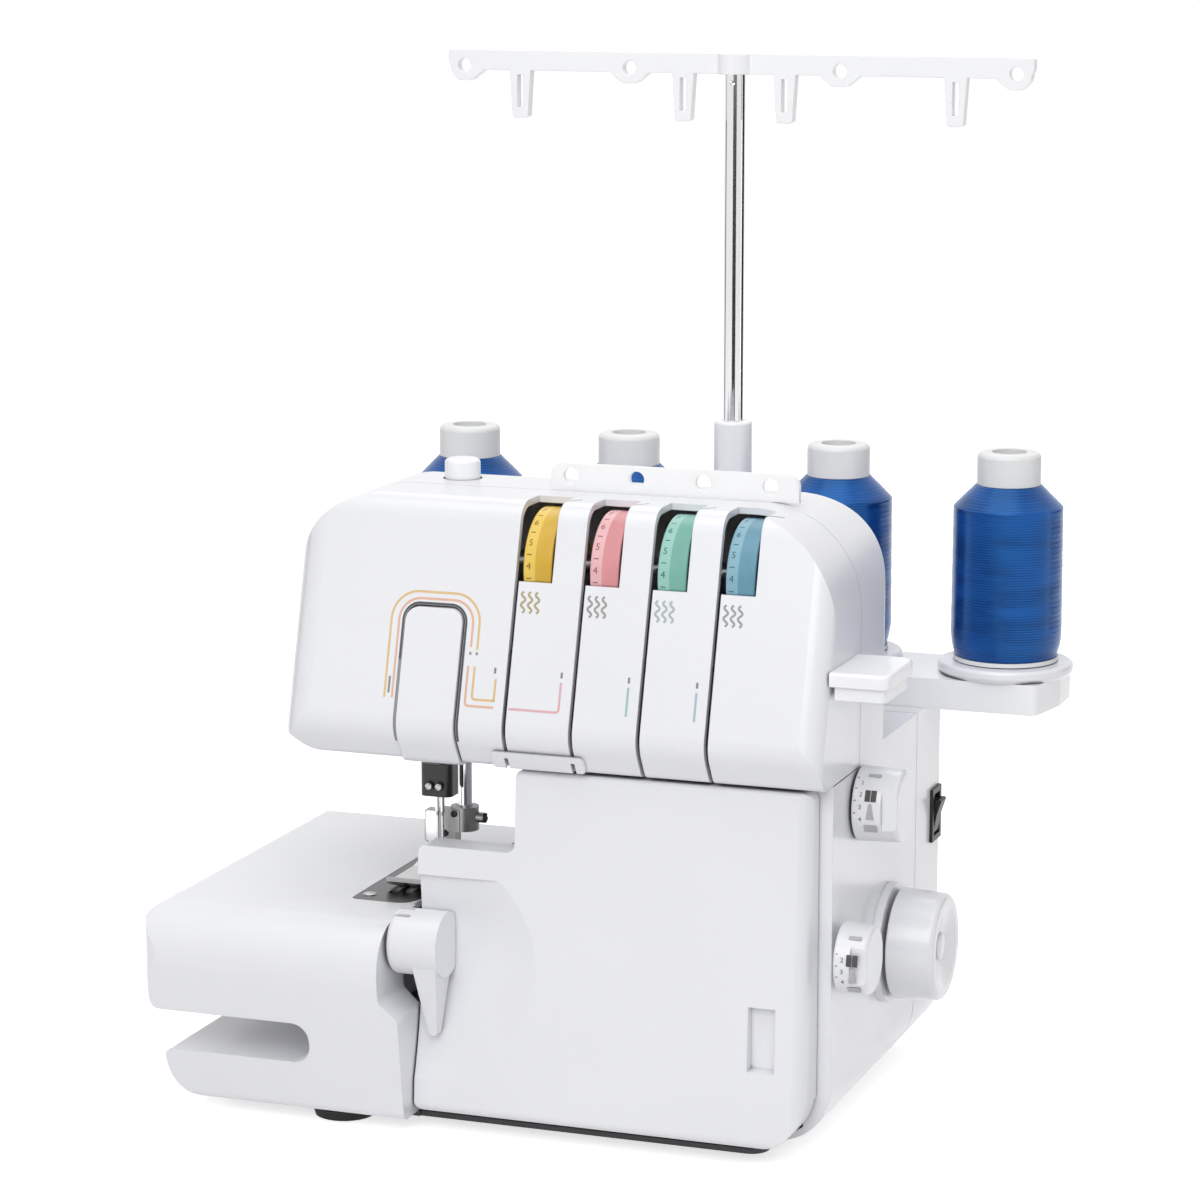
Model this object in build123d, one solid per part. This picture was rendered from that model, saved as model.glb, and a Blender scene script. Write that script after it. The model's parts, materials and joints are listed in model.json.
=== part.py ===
from build123d import *
import os
from math import atan2, cos, radians, sin, sqrt, tan

# Serger overlock machine, millimetres, +Z up.
# Pieces are laid out from the needle drop (X 0, Y 0) with the table at Z 0,
# X towards the handwheel and Y towards the back, and are moved at the end so that
# the origin is the bottom centre of the whole machine.

# Fits and walls
WALL = 3.0
SEAM = 0.5
RUN_FIT = 0.05
GUIDE_FIT = 0.08
CLEAR = 0.4
LOOSE = 0.8
SKIM = 0.04

# Levels
FOOT_HEIGHT = 4.5
BASE_THICK = 2.5
BASE_SHY = 8.0
BED_SHY = 16.0
BED_TOP = 95.0
PANEL_FLOOR = 166.0
HEAD_TOP = 279.0
STEP_TOP = 170.0
BASE_TOP = FOOT_HEIGHT + BASE_THICK

# Sewing bed with its free-arm slot
BED_LEFT = -107.0
BED_RIGHT = 7.5
BED_RIGHT_LOW = 16.2
BED_NOTCH = 54.0
BED_NOTCH_RISE = 8.0
BED_FRONT = -86.0
BED_FRONT_LOW = -77.0
BED_BACK = 112.0
BED_NOSE = 20.0
BED_WAIST = 70.0
SLOT_LOW = 29.5
SLOT_HIGH = 48.0
SLOT_END = -27.0
SLOT_LIP = 4.0
SLOT_FOOT = 8.0
BED_HEEL = 18.0

# Lower body
BODY_LEFT = 17.0
COLUMN_LEFT = 62.0
BODY_RIGHT = 201.0
BODY_FRONT = -45.0
BODY_BACK = 134.0
BODY_HEEL = 25.0
BODY_CORNER = 6.0
VENT_COUNT = 7
VENT_LOW = 40.0
VENT_PITCH = 12.0
VENT_TALL = 4.0
VENT_LEFT = 70.0
VENT_WIDE = 60.0
REAR_SPLIT = 88.0
FLANGE = 6.0
MOUTH_LIP = 12.0
COLLAR_PROUD = 4.0

# Upper body and head
HEAD_LEFT = -46.0
HEAD_BACK = 27.0
UPPER_BACK = 40.0
HEAD_CHIN_Y = -59.0
HEAD_BROW_Y = -68.5
HEAD_BROW_Z = 181.0
HEAD_CREST_Y = -41.0
HEAD_LEFT_CROWN = 38.0
HEAD_RIGHT_CROWN = 44.0
HEAD_LEFT_CHIN = 20.0
BROW_ROUND = 14.0
SHELL_SPLIT = -6.0

# Front cover with its chute scoop
COVER_RIGHT = 195.0
COVER_LOW = 9.0
COVER_TOP = 164.5
COVER_STEP = 128.0
COVER_FRONT_LOW = -68.0
COVER_FRONT_TOP = -58.0
COVER_BAND = 13.0
SCOOP_RADIUS = 200.0
SCOOP_DEPTH = 6.5
SCOOP_Z = 88.0
NOSE_LEFT = 9.0
NOSE_RIGHT = 33.0
NOSE_RADIUS = 14.5
NOSE_Y = -66.0
NOSE_Z = 86.0
NOSE_TIP_Z = 44.0
RECESS_X = 176.0
RECESS_WIDE = 12.0
RECESS_LOW = 43.0
RECESS_TALL = 28.0
RECESS_DEEP = 6.0
COVER_SLIDE = 8.0
HINGE_Y = -60.0
HINGE_Z = 18.0
HINGE_ROD = 2.0
SLEEVE_WALL = 1.2
SLEEVE_LONG = 18.0
HINGE_EYE = 2.0
HEEL_ROOM = 3.0
HEEL_RISE = 10.0

# Tension dials in the front panel
DIAL_COUNT = 4
DIAL_FIRST = 59.0
DIAL_PITCH = 30.5
WINDOW_WIDE = 17.0
WINDOW_LOW = 246.0
WINDOW_BACK = 20.0
DIAL_WIDE = 13.0
DIAL_RADIUS = 24.7
DIAL_Y = -24.5
DIAL_Z = 250.0
DIAL_BORE = 2.6
THREAD_SLOT = 1.8
TENSION_DISC = 11.0
DISC_THICK = 0.9

# Take-up cover on the head
TAKE_UP_LEFT = 10.5
TAKE_UP_WIDE = 26.5
TAKE_UP_TOP = 233.0
TAKE_UP_PROUD = 1.4
TAKE_UP_DEEP = 20.0
TAKE_UP_ROUND = 6.0

# Needle, presser and plate
NEEDLE_X = 2.5
NEEDLE_BAR = 3.6
NEEDLE_GAP = 2.4
NEEDLE_LONG = 33.0
NEEDLE_STROKE = 26.0
CLAMP_LOW = 136.0
CLAMP_TALL = 15.0
CLAMP_WIDE = 15.0
CLAMP_DEEP = 12.0
PRESSER_X = 9.0
PRESSER_Y = 14.0
PRESSER_BAR = 3.5
PRESSER_LIFT = 5.5
FOOT_LEFT = -15.0
FOOT_RIGHT = 7.6
FOOT_FRONT = -24.0
FOOT_BACK = 20.0
FOOT_SOLE = 2.2
FOOT_TILT = 6.0
PLATE_LEFT = -24.0
PLATE_RIGHT = 9.0
PLATE_FRONT = -40.0
PLATE_BACK = 45.0
PLATE_THICK = 2.5
FEED_TOOTH = 0.9
FEED_TRAVEL = 2.0
FEED_LEFT_ROW = -12.0
FEED_RIGHT_ROW = -5.5
FEED_WIDE = 3.6
FEED_TALL = 14.0
FEED_BAR = 4.0
FEED_PITCH = 2.0
FEED_NEAR = 3.0
FEED_REACH = 22.0
NEEDLE_SLOT_X = 3.2
NEEDLE_SLOT_Y = 3.0
ANKLE_X = 3.0
ANKLE_HALF = 4.0
ANKLE_GUARD = 7.0
ANKLE_GUARD_TALL = 16.0
ANKLE_TOP = 128.0
ANKLE_PIN = 1.5
ANKLE_PIN_Y = 10.0
ANKLE_RISE = 8.0
BAR_PROUD = 8.0

# Loopers and knives
UPPER_LOOPER_X = 54.0
UPPER_LOOPER_Y = -13.0
UPPER_LOOPER_Z = 72.0
LOWER_LOOPER_X = 36.0
LOWER_LOOPER_Y = -5.5
LOWER_LOOPER_Z = 34.0
UPPER_REACH = 39.0
UPPER_RISE = 13.0
LOWER_REACH = 30.0
LOWER_RISE = 38.0
LOOPER_THICK = 3.0
LOOPER_PIN = 3.0
KNIFE_X = 9.6
KNIFE_Y = -26.0
KNIFE_THICK = 1.6
KNIFE_STROKE = 6.0
KNIFE_GUIDE_X = 24.5
KNIFE_GUIDE_Y = -34.0
KNIFE_GUIDE = 3.0
CARRIAGE_DROP = 34.0
CARRIAGE_TALL = 12.0
CARRIAGE_HALF = 6.0
BLADE_ARM_DROP = 55.0
BLADE_ARM_TALL = 10.0
GUIDE_POST_DROP = 10.0

# Drive
SHAFT_Y = 42.0
SHAFT_Z = 75.0
SHAFT = 5.0
SHAFT_LEFT = 23.0
BUSH_WALL = 2.5
ECCENTRICS = [(52.0, 2.5), (70.0, -2.0), (96.0, 3.0)]
ECCENTRIC_RIM = 5.0
ECCENTRIC_WIDE = 8.0
WHEEL_RADIUS = 25.0
WHEEL_START = 207.0
WHEEL_END = 228.5
PULLEY_X = 170.0
PULLEY_WIDE = 12.0
PULLEY_RADIUS = 30.0
MOTOR_Y = 100.0
MOTOR_Z = 42.0
MOTOR_RADIUS = 25.0
MOTOR_LEFT = 84.0
MOTOR_LONG = 70.0
MOTOR_SHAFT = 3.0
MOTOR_PULLEY = 8.0
BELT_THICK = 2.0
BELT_WIDE = 8.0

# Side dials, switch and inlet
LENGTH_Y = -38.0
LENGTH_Z = 89.5
LENGTH_RADIUS = 15.5
LENGTH_END = 218.0
DIFF_Y = -6.0
DIFF_Z = 150.0
DIFF_RADIUS = 16.5
DIFF_END = 222.0
DIAL_GAP = 1.0
STEM = 4.0
STEM_NUT = 5.6
SWITCH_Y = 120.5
SWITCH_Z = 116.0
SWITCH_WIDE = 13.0
SWITCH_TALL = 23.0
SWITCH_WALL = 1.6
ROCKER_SUNK = 3.0
ROCKER_PIN = 1.5
INLET_Y = 110.0
INLET_Z = 44.0

# Spool stand, mast, thread tree and spools
STAND_FRONT = 100.0
STAND_BACK = 156.0
STAND_TALL = 14.0
STAND_SHY = 5.0
MAST_X = 99.5
STAND_Y = 127.0
SPOOL_INNER = 51.5
SPOOL_OUTER = 132.5
DISC_RADIUS = 31.0
DISC_TALL = 6.0
SPOOL_TALL = 96.0
WINDING_RADIUS = 25.0
CAP_RADIUS = 14.5
CAP_TALL = 15.0
CAP_LIP = 1.5
CORE_FLANGE = 2.0
SHOULDER = 10.0
SPOOL_BORE = 8.0
PIN_RADIUS = 4.0
PIN_TALL = 62.0
SOCKET_RADIUS = 9.0
SOCKET_TOP = 294.5
MAST_RADIUS = 4.7
MAST_TOP = 456.0
MAST_GRIP = 34.0
MAST_TRAVEL = 70.0
TREE_CROWN = 8.0
TREE_TALL = 9.0
TREE_THICK = 5.0
TREE_HALF = 141.0
EYE_INNER = 50.7
EYE_END = 8.0
EYE_RADIUS = 7.0
EYE_FLANK = 11.0
EYE_HOLE = 3.4
HOOK_INNER = 24.5
HOOK_TO_EYE = 28.0
HOOK_DROP = 31.0
HOOK_WIDE = 10.5
HOOK_SLIT = 3.0

# Guide plate and shelf ledge
GUIDE_LEFT = 58.0
GUIDE_RIGHT = 172.0
GUIDE_TALL = 12.0
GUIDE_HOLE = 3.5
LEDGE_OUT = 26.0
LEDGE_FRONT = -54.0
LEDGE_BACK = -10.0
LEDGE_TOP = 216.5
LEDGE_TALL = 12.0
KNOB_RADIUS = 8.0
KNOB_PROUD = 9.0

# Cast frame with its bearings and the presser lifter
BEARING_X = [30.0, 136.0]
BEARING_WIDE = 10.0
PLINTH_DEEP = 24.0
RIB_Y = 6.0
RIB_THICK = 6.0
COLUMN_X = 112.0
COLUMN_WIDE = 30.0
COLUMN_DEEP = 23.0
BEAM_Y = 12.0
BEAM_DEEP = 11.0
BEAM_Z = 196.0
BEAM_TALL = 20.0
BEAM_OVERHANG = 36.0
BOSS_LOW = PANEL_FLOOR + 8.0
BOSS_HIGH = HEAD_TOP - 45.0
BOSS_TALL = 12.0
LIFTER_X = 23.0
LIFTER_Y = 13.0
LIFTER_Z = BOSS_LOW + 6.0
LIFTER_WIDE = 7.0
LIFTER_REACH = 50.0
LIFTER_BEND = 30.0
LIFTER_PIN = 3.0

# Rubber feet
FOOT_RADIUS = 15.0
FOOT_PLACES = [(-22.0, -54.0), (-64.0, 82.0), (158.0, -30.0), (158.0, 104.0)]

# Values that follow from the ones above
NEEDLE_BUSH = NEEDLE_BAR + BUSH_WALL
PRESSER_BUSH = PRESSER_BAR + BUSH_WALL
SHAFT_BUSH = SHAFT + BUSH_WALL
BEAM_BACK = BEAM_Y + BEAM_DEEP
BEAM_TOP = BEAM_Z + BEAM_TALL
SLEEVE_OUT = HINGE_ROD + SLEEVE_WALL
FEED_LOW = BED_TOP - FEED_TALL
FEED_RIGHT_END = FEED_RIGHT_ROW + FEED_WIDE
SOLE_Z = BED_TOP + FEED_TOOTH + CLEAR
ANKLE_PIN_Z = SOLE_Z + ANKLE_RISE
PRESSER_TOP = BOSS_HIGH + BOSS_TALL + BAR_PROUD
ROCKER_X = BODY_RIGHT - ROCKER_SUNK
STAND_TOP = STEP_TOP + STAND_TALL
DISC_TOP = STAND_TOP + DISC_TALL
CORE_LOW = DISC_TOP + CLEAR
CORE_TOP = CORE_LOW + SPOOL_TALL
CORE_RADIUS = CAP_RADIUS - CAP_LIP
TREE_TOP = MAST_TOP + TREE_CROWN
TREE_LOW = TREE_TOP - TREE_TALL
WINDING_LOW = CORE_LOW + CORE_FLANGE
WINDING_TOP = CORE_TOP - CAP_TALL
EYE_OUTER = TREE_HALF - EYE_END
HOOK_OUTER = EYE_OUTER - HOOK_TO_EYE
RIGHT_END = MAST_X + SPOOL_OUTER + DISC_RADIUS
BACK_END = STAND_Y + DISC_RADIUS
CENTRE_X = (BED_LEFT + RIGHT_END) / 2
CENTRE_Y = (BED_FRONT + BACK_END) / 2
FAR = 500.0

LEAN = (HEAD_CREST_Y - HEAD_BROW_Y) / (HEAD_TOP - HEAD_BROW_Z)
COVER_LEAN = (COVER_FRONT_TOP - COVER_FRONT_LOW) / (COVER_TOP - COVER_LOW)
SPOOL_X = [MAST_X - SPOOL_OUTER, MAST_X - SPOOL_INNER, MAST_X + SPOOL_INNER, MAST_X + SPOOL_OUTER]
DIAL_LEFT = [DIAL_FIRST + DIAL_PITCH * i for i in range(DIAL_COUNT)]


# Small shape helpers

def outline(points):
    """Closed flat face from corners given as (u, v, corner radius)."""
    corners = [(u, v) for u, v, r in points]
    radii = [r for u, v, r in points]
    return make_face(FilletPolyline(*corners, radius=radii, close=True).edges())


def inset_face(face, amount):
    """The face drawn in by an amount, or grown by a negative one."""
    if amount == 0:
        return face
    return offset(face, amount=-amount)


def prism_x(face, x0, x1):
    return extrude(Plane.YZ.offset(x0) * face, x1 - x0)


def prism_y(face, y0, y1):
    return extrude(Plane.XZ.offset(-y1) * face, y1 - y0)


def prism_z(face, z0, z1):
    return extrude(Plane.XY.offset(z0) * face, z1 - z0)


def block(x0, x1, y0, y1, z0, z1):
    middle = Pos((x0 + x1) / 2, (y0 + y1) / 2, (z0 + z1) / 2)
    return middle * Box(x1 - x0, y1 - y0, z1 - z0)


def rod_x(radius, x0, x1, y, z):
    return Pos((x0 + x1) / 2, y, z) * Rot(0, 90, 0) * Cylinder(radius, x1 - x0)


def rod_y(radius, y0, y1, x, z):
    return Pos(x, (y0 + y1) / 2, z) * Rot(90, 0, 0) * Cylinder(radius, y1 - y0)


def rod_z(radius, z0, z1, x, y):
    return Pos(x, y, (z0 + z1) / 2) * Cylinder(radius, z1 - z0)


def turned_x(points, y, z):
    """Solid of revolution about an X axis from (x, radius, corner radius) points."""
    return Pos(0, y, z) * revolve(outline(points), Axis.X)


def turned_z(points, x, y):
    """Solid of revolution about a Z axis from (radius, z, corner radius) points."""
    return Pos(x, y, 0) * revolve(Plane.XZ * outline(points), Axis.Z)


# Housing forms

def bed_form(inset):
    side = outline([
        (BED_BACK, BASE_TOP, 4),
        (BED_BACK, BED_TOP, 6),
        (BED_FRONT, BED_TOP, BED_NOSE),
        (BED_FRONT, BED_WAIST, 30),
        (BED_FRONT_LOW, BASE_TOP, 4),
    ])
    front = outline([
        (BED_RIGHT_LOW, BASE_TOP, 0),
        (BED_RIGHT_LOW, BED_NOTCH, 4),
        (BED_RIGHT, BED_NOTCH + BED_NOTCH_RISE, 4),
        (BED_RIGHT, BED_TOP, 0),
        (BED_LEFT, BED_TOP, 8),
        (BED_LEFT, BED_WAIST, 0),
        (BED_LEFT + SLOT_LIP, SLOT_HIGH, 4),
        (SLOT_END, SLOT_HIGH, 8),
        (SLOT_END, SLOT_LOW, 8),
        (BED_LEFT + SLOT_FOOT, SLOT_LOW, 4),
        (BED_LEFT + SLOT_FOOT + SLOT_LIP, BASE_TOP, BED_HEEL),
    ])
    plan = outline([
        (BED_RIGHT_LOW + 1, BED_FRONT, 0),
        (BED_RIGHT_LOW + 1, BED_BACK, 0),
        (BED_LEFT, BED_BACK, 12),
        (BED_LEFT, BED_FRONT, 9),
    ])
    form = prism_x(inset_face(side, inset), BED_LEFT - 1, BED_RIGHT_LOW + 2)
    form = form & prism_y(inset_face(front, inset), BED_FRONT - 1, BED_BACK + 1)
    return form & prism_z(inset_face(plan, inset), 0, BED_TOP + 1)


def lower_form(inset):
    mouth = BODY_FRONT - inset
    side = outline([
        (mouth, BASE_TOP + inset, 0),
        (BODY_BACK - inset, BASE_TOP + inset, 4),
        (BODY_BACK - inset, STEP_TOP - inset, 8 - inset),
        (SHELL_SPLIT + SEAM + inset, STEP_TOP - inset, 0),
        (SHELL_SPLIT + SEAM + inset, PANEL_FLOOR - SEAM - inset, 0),
        (mouth, PANEL_FLOOR - SEAM - inset, 0),
    ])
    front = outline([
        (BODY_LEFT + inset, BASE_TOP + inset - SKIM, 0),
        (BODY_RIGHT - inset, BASE_TOP + inset - SKIM, BODY_HEEL - inset),
        (BODY_RIGHT - inset, STEP_TOP + 1, 0),
        (COLUMN_LEFT + inset, STEP_TOP + 1, 0),
        (COLUMN_LEFT + inset, BED_TOP - inset, 6),
        (BODY_LEFT + inset, BED_TOP - inset, 0),
    ])
    plan = outline([
        (BODY_LEFT - SKIM, mouth - 1, 0),
        (BODY_RIGHT - inset + SKIM, mouth - 1, 0),
        (BODY_RIGHT - inset + SKIM, BODY_BACK - inset + SKIM, BODY_CORNER - inset),
        (BODY_LEFT - SKIM, BODY_BACK - inset + SKIM, 0),
    ])
    form = prism_x(side, BODY_LEFT - 1, BODY_RIGHT + 1)
    form = form & prism_z(plan, BASE_TOP - 1, STEP_TOP + 1)
    return form & prism_y(front, mouth - 2, BODY_BACK + 1)


def bottom_opening():
    """Open underside of the lower body, inside a flange that stands on the base plate."""
    return block(BODY_LEFT - 1, BODY_RIGHT - BODY_HEEL - FLANGE, BODY_FRONT - 1, BODY_BACK - WALL - FLANGE,
                 BASE_TOP - 1, BASE_TOP + WALL + 1)


def upper_form(inset):
    side = outline([
        (UPPER_BACK, PANEL_FLOOR, 0),
        (HEAD_CHIN_Y, PANEL_FLOOR, 5),
        (HEAD_BROW_Y, HEAD_BROW_Z, BROW_ROUND),
        (HEAD_CREST_Y, HEAD_TOP, 11),
        (UPPER_BACK, HEAD_TOP, 14),
    ])
    front = outline([
        (HEAD_LEFT, PANEL_FLOOR - SKIM, HEAD_LEFT_CHIN),
        (BODY_RIGHT, PANEL_FLOOR - SKIM, 0),
        (BODY_RIGHT, HEAD_TOP + SKIM, HEAD_RIGHT_CROWN),
        (HEAD_LEFT, HEAD_TOP + SKIM, HEAD_LEFT_CROWN),
    ])
    back_plan = outline([
        (HEAD_LEFT - SKIM, HEAD_BROW_Y - 15, 0),
        (BODY_RIGHT + SKIM, HEAD_BROW_Y - 15, 0),
        (BODY_RIGHT + SKIM, UPPER_BACK + SKIM, 10),
        (COLUMN_LEFT - 6, UPPER_BACK + SKIM, 14),
        (COLUMN_LEFT - 24, HEAD_BACK, 14),
        (HEAD_LEFT - SKIM, HEAD_BACK, 12),
    ])
    corners = outline([
        (HEAD_LEFT - 2 * SKIM, HEAD_BROW_Y - SKIM, 16),
        (BODY_RIGHT + 2 * SKIM, HEAD_BROW_Y - SKIM, 10),
        (BODY_RIGHT + 2 * SKIM, FAR, 0),
        (HEAD_LEFT - 2 * SKIM, FAR, 0),
    ])
    low = PANEL_FLOOR - 10
    start = Plane.XY.offset(low) * Pos(0, LEAN * (low - HEAD_BROW_Z), 0)
    rise = HEAD_TOP + 10 - low
    slope = sqrt(1 + LEAN * LEAN)
    leaning = extrude(start * inset_face(corners, inset), rise * slope, dir=(0, LEAN, 1))
    form = prism_z(inset_face(back_plan, inset), low, HEAD_TOP + 10) & leaning
    form = form & prism_x(inset_face(side, inset), HEAD_LEFT - 5, BODY_RIGHT + 5)
    return form & prism_y(inset_face(front, inset), -FAR / 2, FAR / 2)


# Housings

def bed_housing():
    shell = bed_form(0) - bed_form(WALL)
    side_door = block(BED_RIGHT - 2 * WALL, BED_RIGHT_LOW + 2, BED_FRONT + 30, BED_BACK - 20,
                      BASE_TOP + 2 * WALL, BED_TOP - WALL)
    plate_seat = prism_z(plate_face(-CLEAR), BED_TOP - 2 * WALL, BED_TOP + 1)
    plate_mouth = block(PLATE_RIGHT - WALL, BED_RIGHT + 1, PLATE_FRONT - CLEAR, PLATE_BACK + CLEAR,
                        BED_TOP - 2 * WALL, BED_TOP + 1)
    return shell - side_door - plate_seat - plate_mouth


def main_housing():
    lower = lower_form(0) & block(-FAR, FAR, BODY_FRONT, REAR_SPLIT, 0, FAR)
    upper = upper_form(0) & block(-FAR, FAR, SHELL_SPLIT + SEAM, FAR, 0, FAR)
    collar = rod_x(WHEEL_RADIUS + 2, BODY_RIGHT - WALL, BODY_RIGHT + COLLAR_PROUD, SHAFT_Y, SHAFT_Z)
    shell = lower + upper + collar
    shell = shell - lower_form(WALL) - bottom_opening()
    shell = shell - (upper_form(WALL) & block(-FAR, FAR, SHELL_SPLIT - WALL, FAR, 0, FAR))
    passage = block(COLUMN_LEFT + 12, BODY_RIGHT - 12, SHELL_SPLIT - WALL, UPPER_BACK - 6,
                    PANEL_FLOOR - 4, STEP_TOP + WALL)
    looper_door = block(BODY_LEFT - 1, BODY_LEFT + WALL + 1, BODY_FRONT - WALL, BODY_BACK - 40,
                        0, BED_TOP - WALL)
    chamber_roof = block(BODY_LEFT - 1, COLUMN_LEFT - 8, BODY_FRONT - 1, PLATE_BACK,
                         BED_TOP - WALL - 1, BED_TOP + 1)
    shell = shell - passage - looper_door - chamber_roof
    lip = lower_form(0) & block(BODY_RIGHT - MOUTH_LIP, BODY_RIGHT, BODY_FRONT, BODY_FRONT + WALL, 0, FAR)
    nut_room = rod_x(STEM_NUT + LOOSE, BODY_RIGHT - 2 * MOUTH_LIP, BODY_RIGHT - WALL, LENGTH_Y, LENGTH_Z)
    shell = shell + lip - nut_room
    shell = shell - rod_x(SHAFT + LOOSE, BODY_RIGHT - 2 * WALL, FAR, SHAFT_Y, SHAFT_Z)
    shell = shell - rod_x(STEM + LOOSE, BODY_RIGHT - 2 * WALL, FAR, LENGTH_Y, LENGTH_Z)
    shell = shell - rod_x(STEM + LOOSE, BODY_RIGHT - 2 * WALL, FAR, DIFF_Y, DIFF_Z)
    shell = shell - bar_ports()
    knob_port = rod_z(KNOB_RADIUS + LOOSE, HEAD_TOP - 2 * WALL, FAR, PRESSER_X, PRESSER_Y)
    lifter_port = block(LIFTER_X - LIFTER_WIDE / 2 - LOOSE, LIFTER_X + LIFTER_WIDE / 2 + LOOSE,
                        HEAD_BACK - 2 * WALL, UPPER_BACK, PANEL_FLOOR + WALL, PANEL_FLOOR + 40)
    return shell - knob_port - lifter_port


def side_ledge():
    """Ledge that stands out from the right wall, as a cap on a narrower skirt."""
    plan = outline([
        (BODY_RIGHT, LEDGE_FRONT, 0),
        (BODY_RIGHT + LEDGE_OUT, LEDGE_FRONT, 4),
        (BODY_RIGHT + LEDGE_OUT, LEDGE_BACK, 8),
        (BODY_RIGHT, LEDGE_BACK, 0),
    ])
    cap = prism_z(plan, LEDGE_TOP - LEDGE_TALL / 2, LEDGE_TOP)
    skirt = prism_z(inset_face(plan, 2), LEDGE_TOP - LEDGE_TALL, LEDGE_TOP - LEDGE_TALL / 2)
    return fillet(cap.edges().group_by(Axis.Z)[-1].sort_by(Axis.X)[1:], 1.5) + skirt


def bar_ports():
    """Room for the needle bar and presser bar through the head floor and its walls."""
    needle = block(NEEDLE_X - CLAMP_WIDE / 2 - LOOSE, NEEDLE_X + CLAMP_WIDE / 2 + LOOSE,
                   -CLAMP_DEEP / 2 - LOOSE, CLAMP_DEEP / 2 + LOOSE,
                   PANEL_FLOOR - 1, PANEL_FLOOR + WALL + 1)
    presser = rod_z(PRESSER_BAR + LOOSE, PANEL_FLOOR - 1, PANEL_FLOOR + WALL + 1, PRESSER_X, PRESSER_Y)
    return needle + presser


def rear_cover():
    shell = lower_form(0) - lower_form(WALL)
    shell = shell & block(-FAR, FAR, REAR_SPLIT + SEAM, FAR, 0, FAR)
    low_door = block(BODY_LEFT - 1, BODY_LEFT + WALL + 1, 0, BODY_BACK - 40, 0, BED_TOP - WALL)
    switch_hole = block(BODY_RIGHT - 2 * WALL, BODY_RIGHT + 1,
                        SWITCH_Y - SWITCH_WIDE / 2, SWITCH_Y + SWITCH_WIDE / 2,
                        SWITCH_Z - SWITCH_TALL / 2, SWITCH_Z + SWITCH_TALL / 2)
    inlet_hole = block(BODY_RIGHT - 2 * WALL, BODY_RIGHT + 1, INLET_Y - 11, INLET_Y + 11,
                       INLET_Z - 8, INLET_Z + 8)
    shell = shell - low_door - switch_hole - inlet_hole - bottom_opening()
    for i in range(VENT_COUNT):
        level = VENT_LOW + VENT_PITCH * i
        shell = shell - block(VENT_LEFT, VENT_LEFT + VENT_WIDE, BODY_BACK - 2 * WALL, BODY_BACK + 1,
                              level, level + VENT_TALL)
    return shell


def take_up_face(grow):
    middle = TAKE_UP_LEFT + TAKE_UP_WIDE / 2
    half = TAKE_UP_WIDE / 2 + grow
    return outline([
        (middle - half, PANEL_FLOOR - 6, 0),
        (middle + half, PANEL_FLOOR - 6, 0),
        (middle + half, TAKE_UP_TOP + grow, TAKE_UP_ROUND + grow),
        (middle - half, TAKE_UP_TOP + grow, TAKE_UP_ROUND + grow),
    ])


def front_panel():
    shell = upper_form(0) - upper_form(WALL)
    shell = shell & block(-FAR, FAR, -FAR, SHELL_SPLIT, 0, FAR)
    shell = shell - prism_y(take_up_face(LOOSE), -FAR, -20) - bar_ports()
    for left in DIAL_LEFT:
        window = block(left, left + WINDOW_WIDE, -FAR, HEAD_CREST_Y + WINDOW_BACK, WINDOW_LOW, FAR)
        slot = block(left, left + THREAD_SLOT, -FAR, HEAD_CHIN_Y + 14, 0, WINDOW_LOW + 1)
        lead = outline([
            (left + WINDOW_WIDE - 1, HEAD_CREST_Y + 6, 0),
            (left + WINDOW_WIDE + 5, HEAD_CREST_Y + 14, 0),
            (left + WINDOW_WIDE + 5, HEAD_CREST_Y + 16, 0),
            (left + WINDOW_WIDE - 1, HEAD_CREST_Y + 8.5, 0),
        ])
        relief = rod_x(DIAL_RADIUS + CLEAR, left, left + WINDOW_WIDE, DIAL_Y, DIAL_Z)
        shell = shell - window - slot - relief - prism_z(lead, HEAD_TOP - 2 * WALL, FAR)
    return shell


def take_up_cover():
    skin = upper_form(-TAKE_UP_PROUD) & prism_y(take_up_face(0), -FAR, HEAD_CHIN_Y + TAKE_UP_DEEP)
    skin = skin & block(-FAR, FAR, -FAR, FAR, PANEL_FLOOR - TAKE_UP_PROUD, FAR)
    return skin - upper_form(WALL)


def thread_lip():
    """Narrow thread guide along the lower edge of the panel, below the first two slots."""
    left = DIAL_LEFT[0] - 6
    right = DIAL_LEFT[1] + 6
    strip = outline([
        (left, PANEL_FLOOR, 2),
        (right, PANEL_FLOOR, 2),
        (right, PANEL_FLOOR + 8, 2),
        (left, PANEL_FLOOR + 8, 2),
    ])
    skin = upper_form(-2) - upper_form(-0.1)
    skin = skin & prism_y(strip, -FAR, HEAD_CHIN_Y - 1)
    for x in DIAL_LEFT[:2]:
        skin = skin - block(x, x + THREAD_SLOT, -FAR, FAR, PANEL_FLOOR - 1, PANEL_FLOOR + 5)
    return skin


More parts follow.
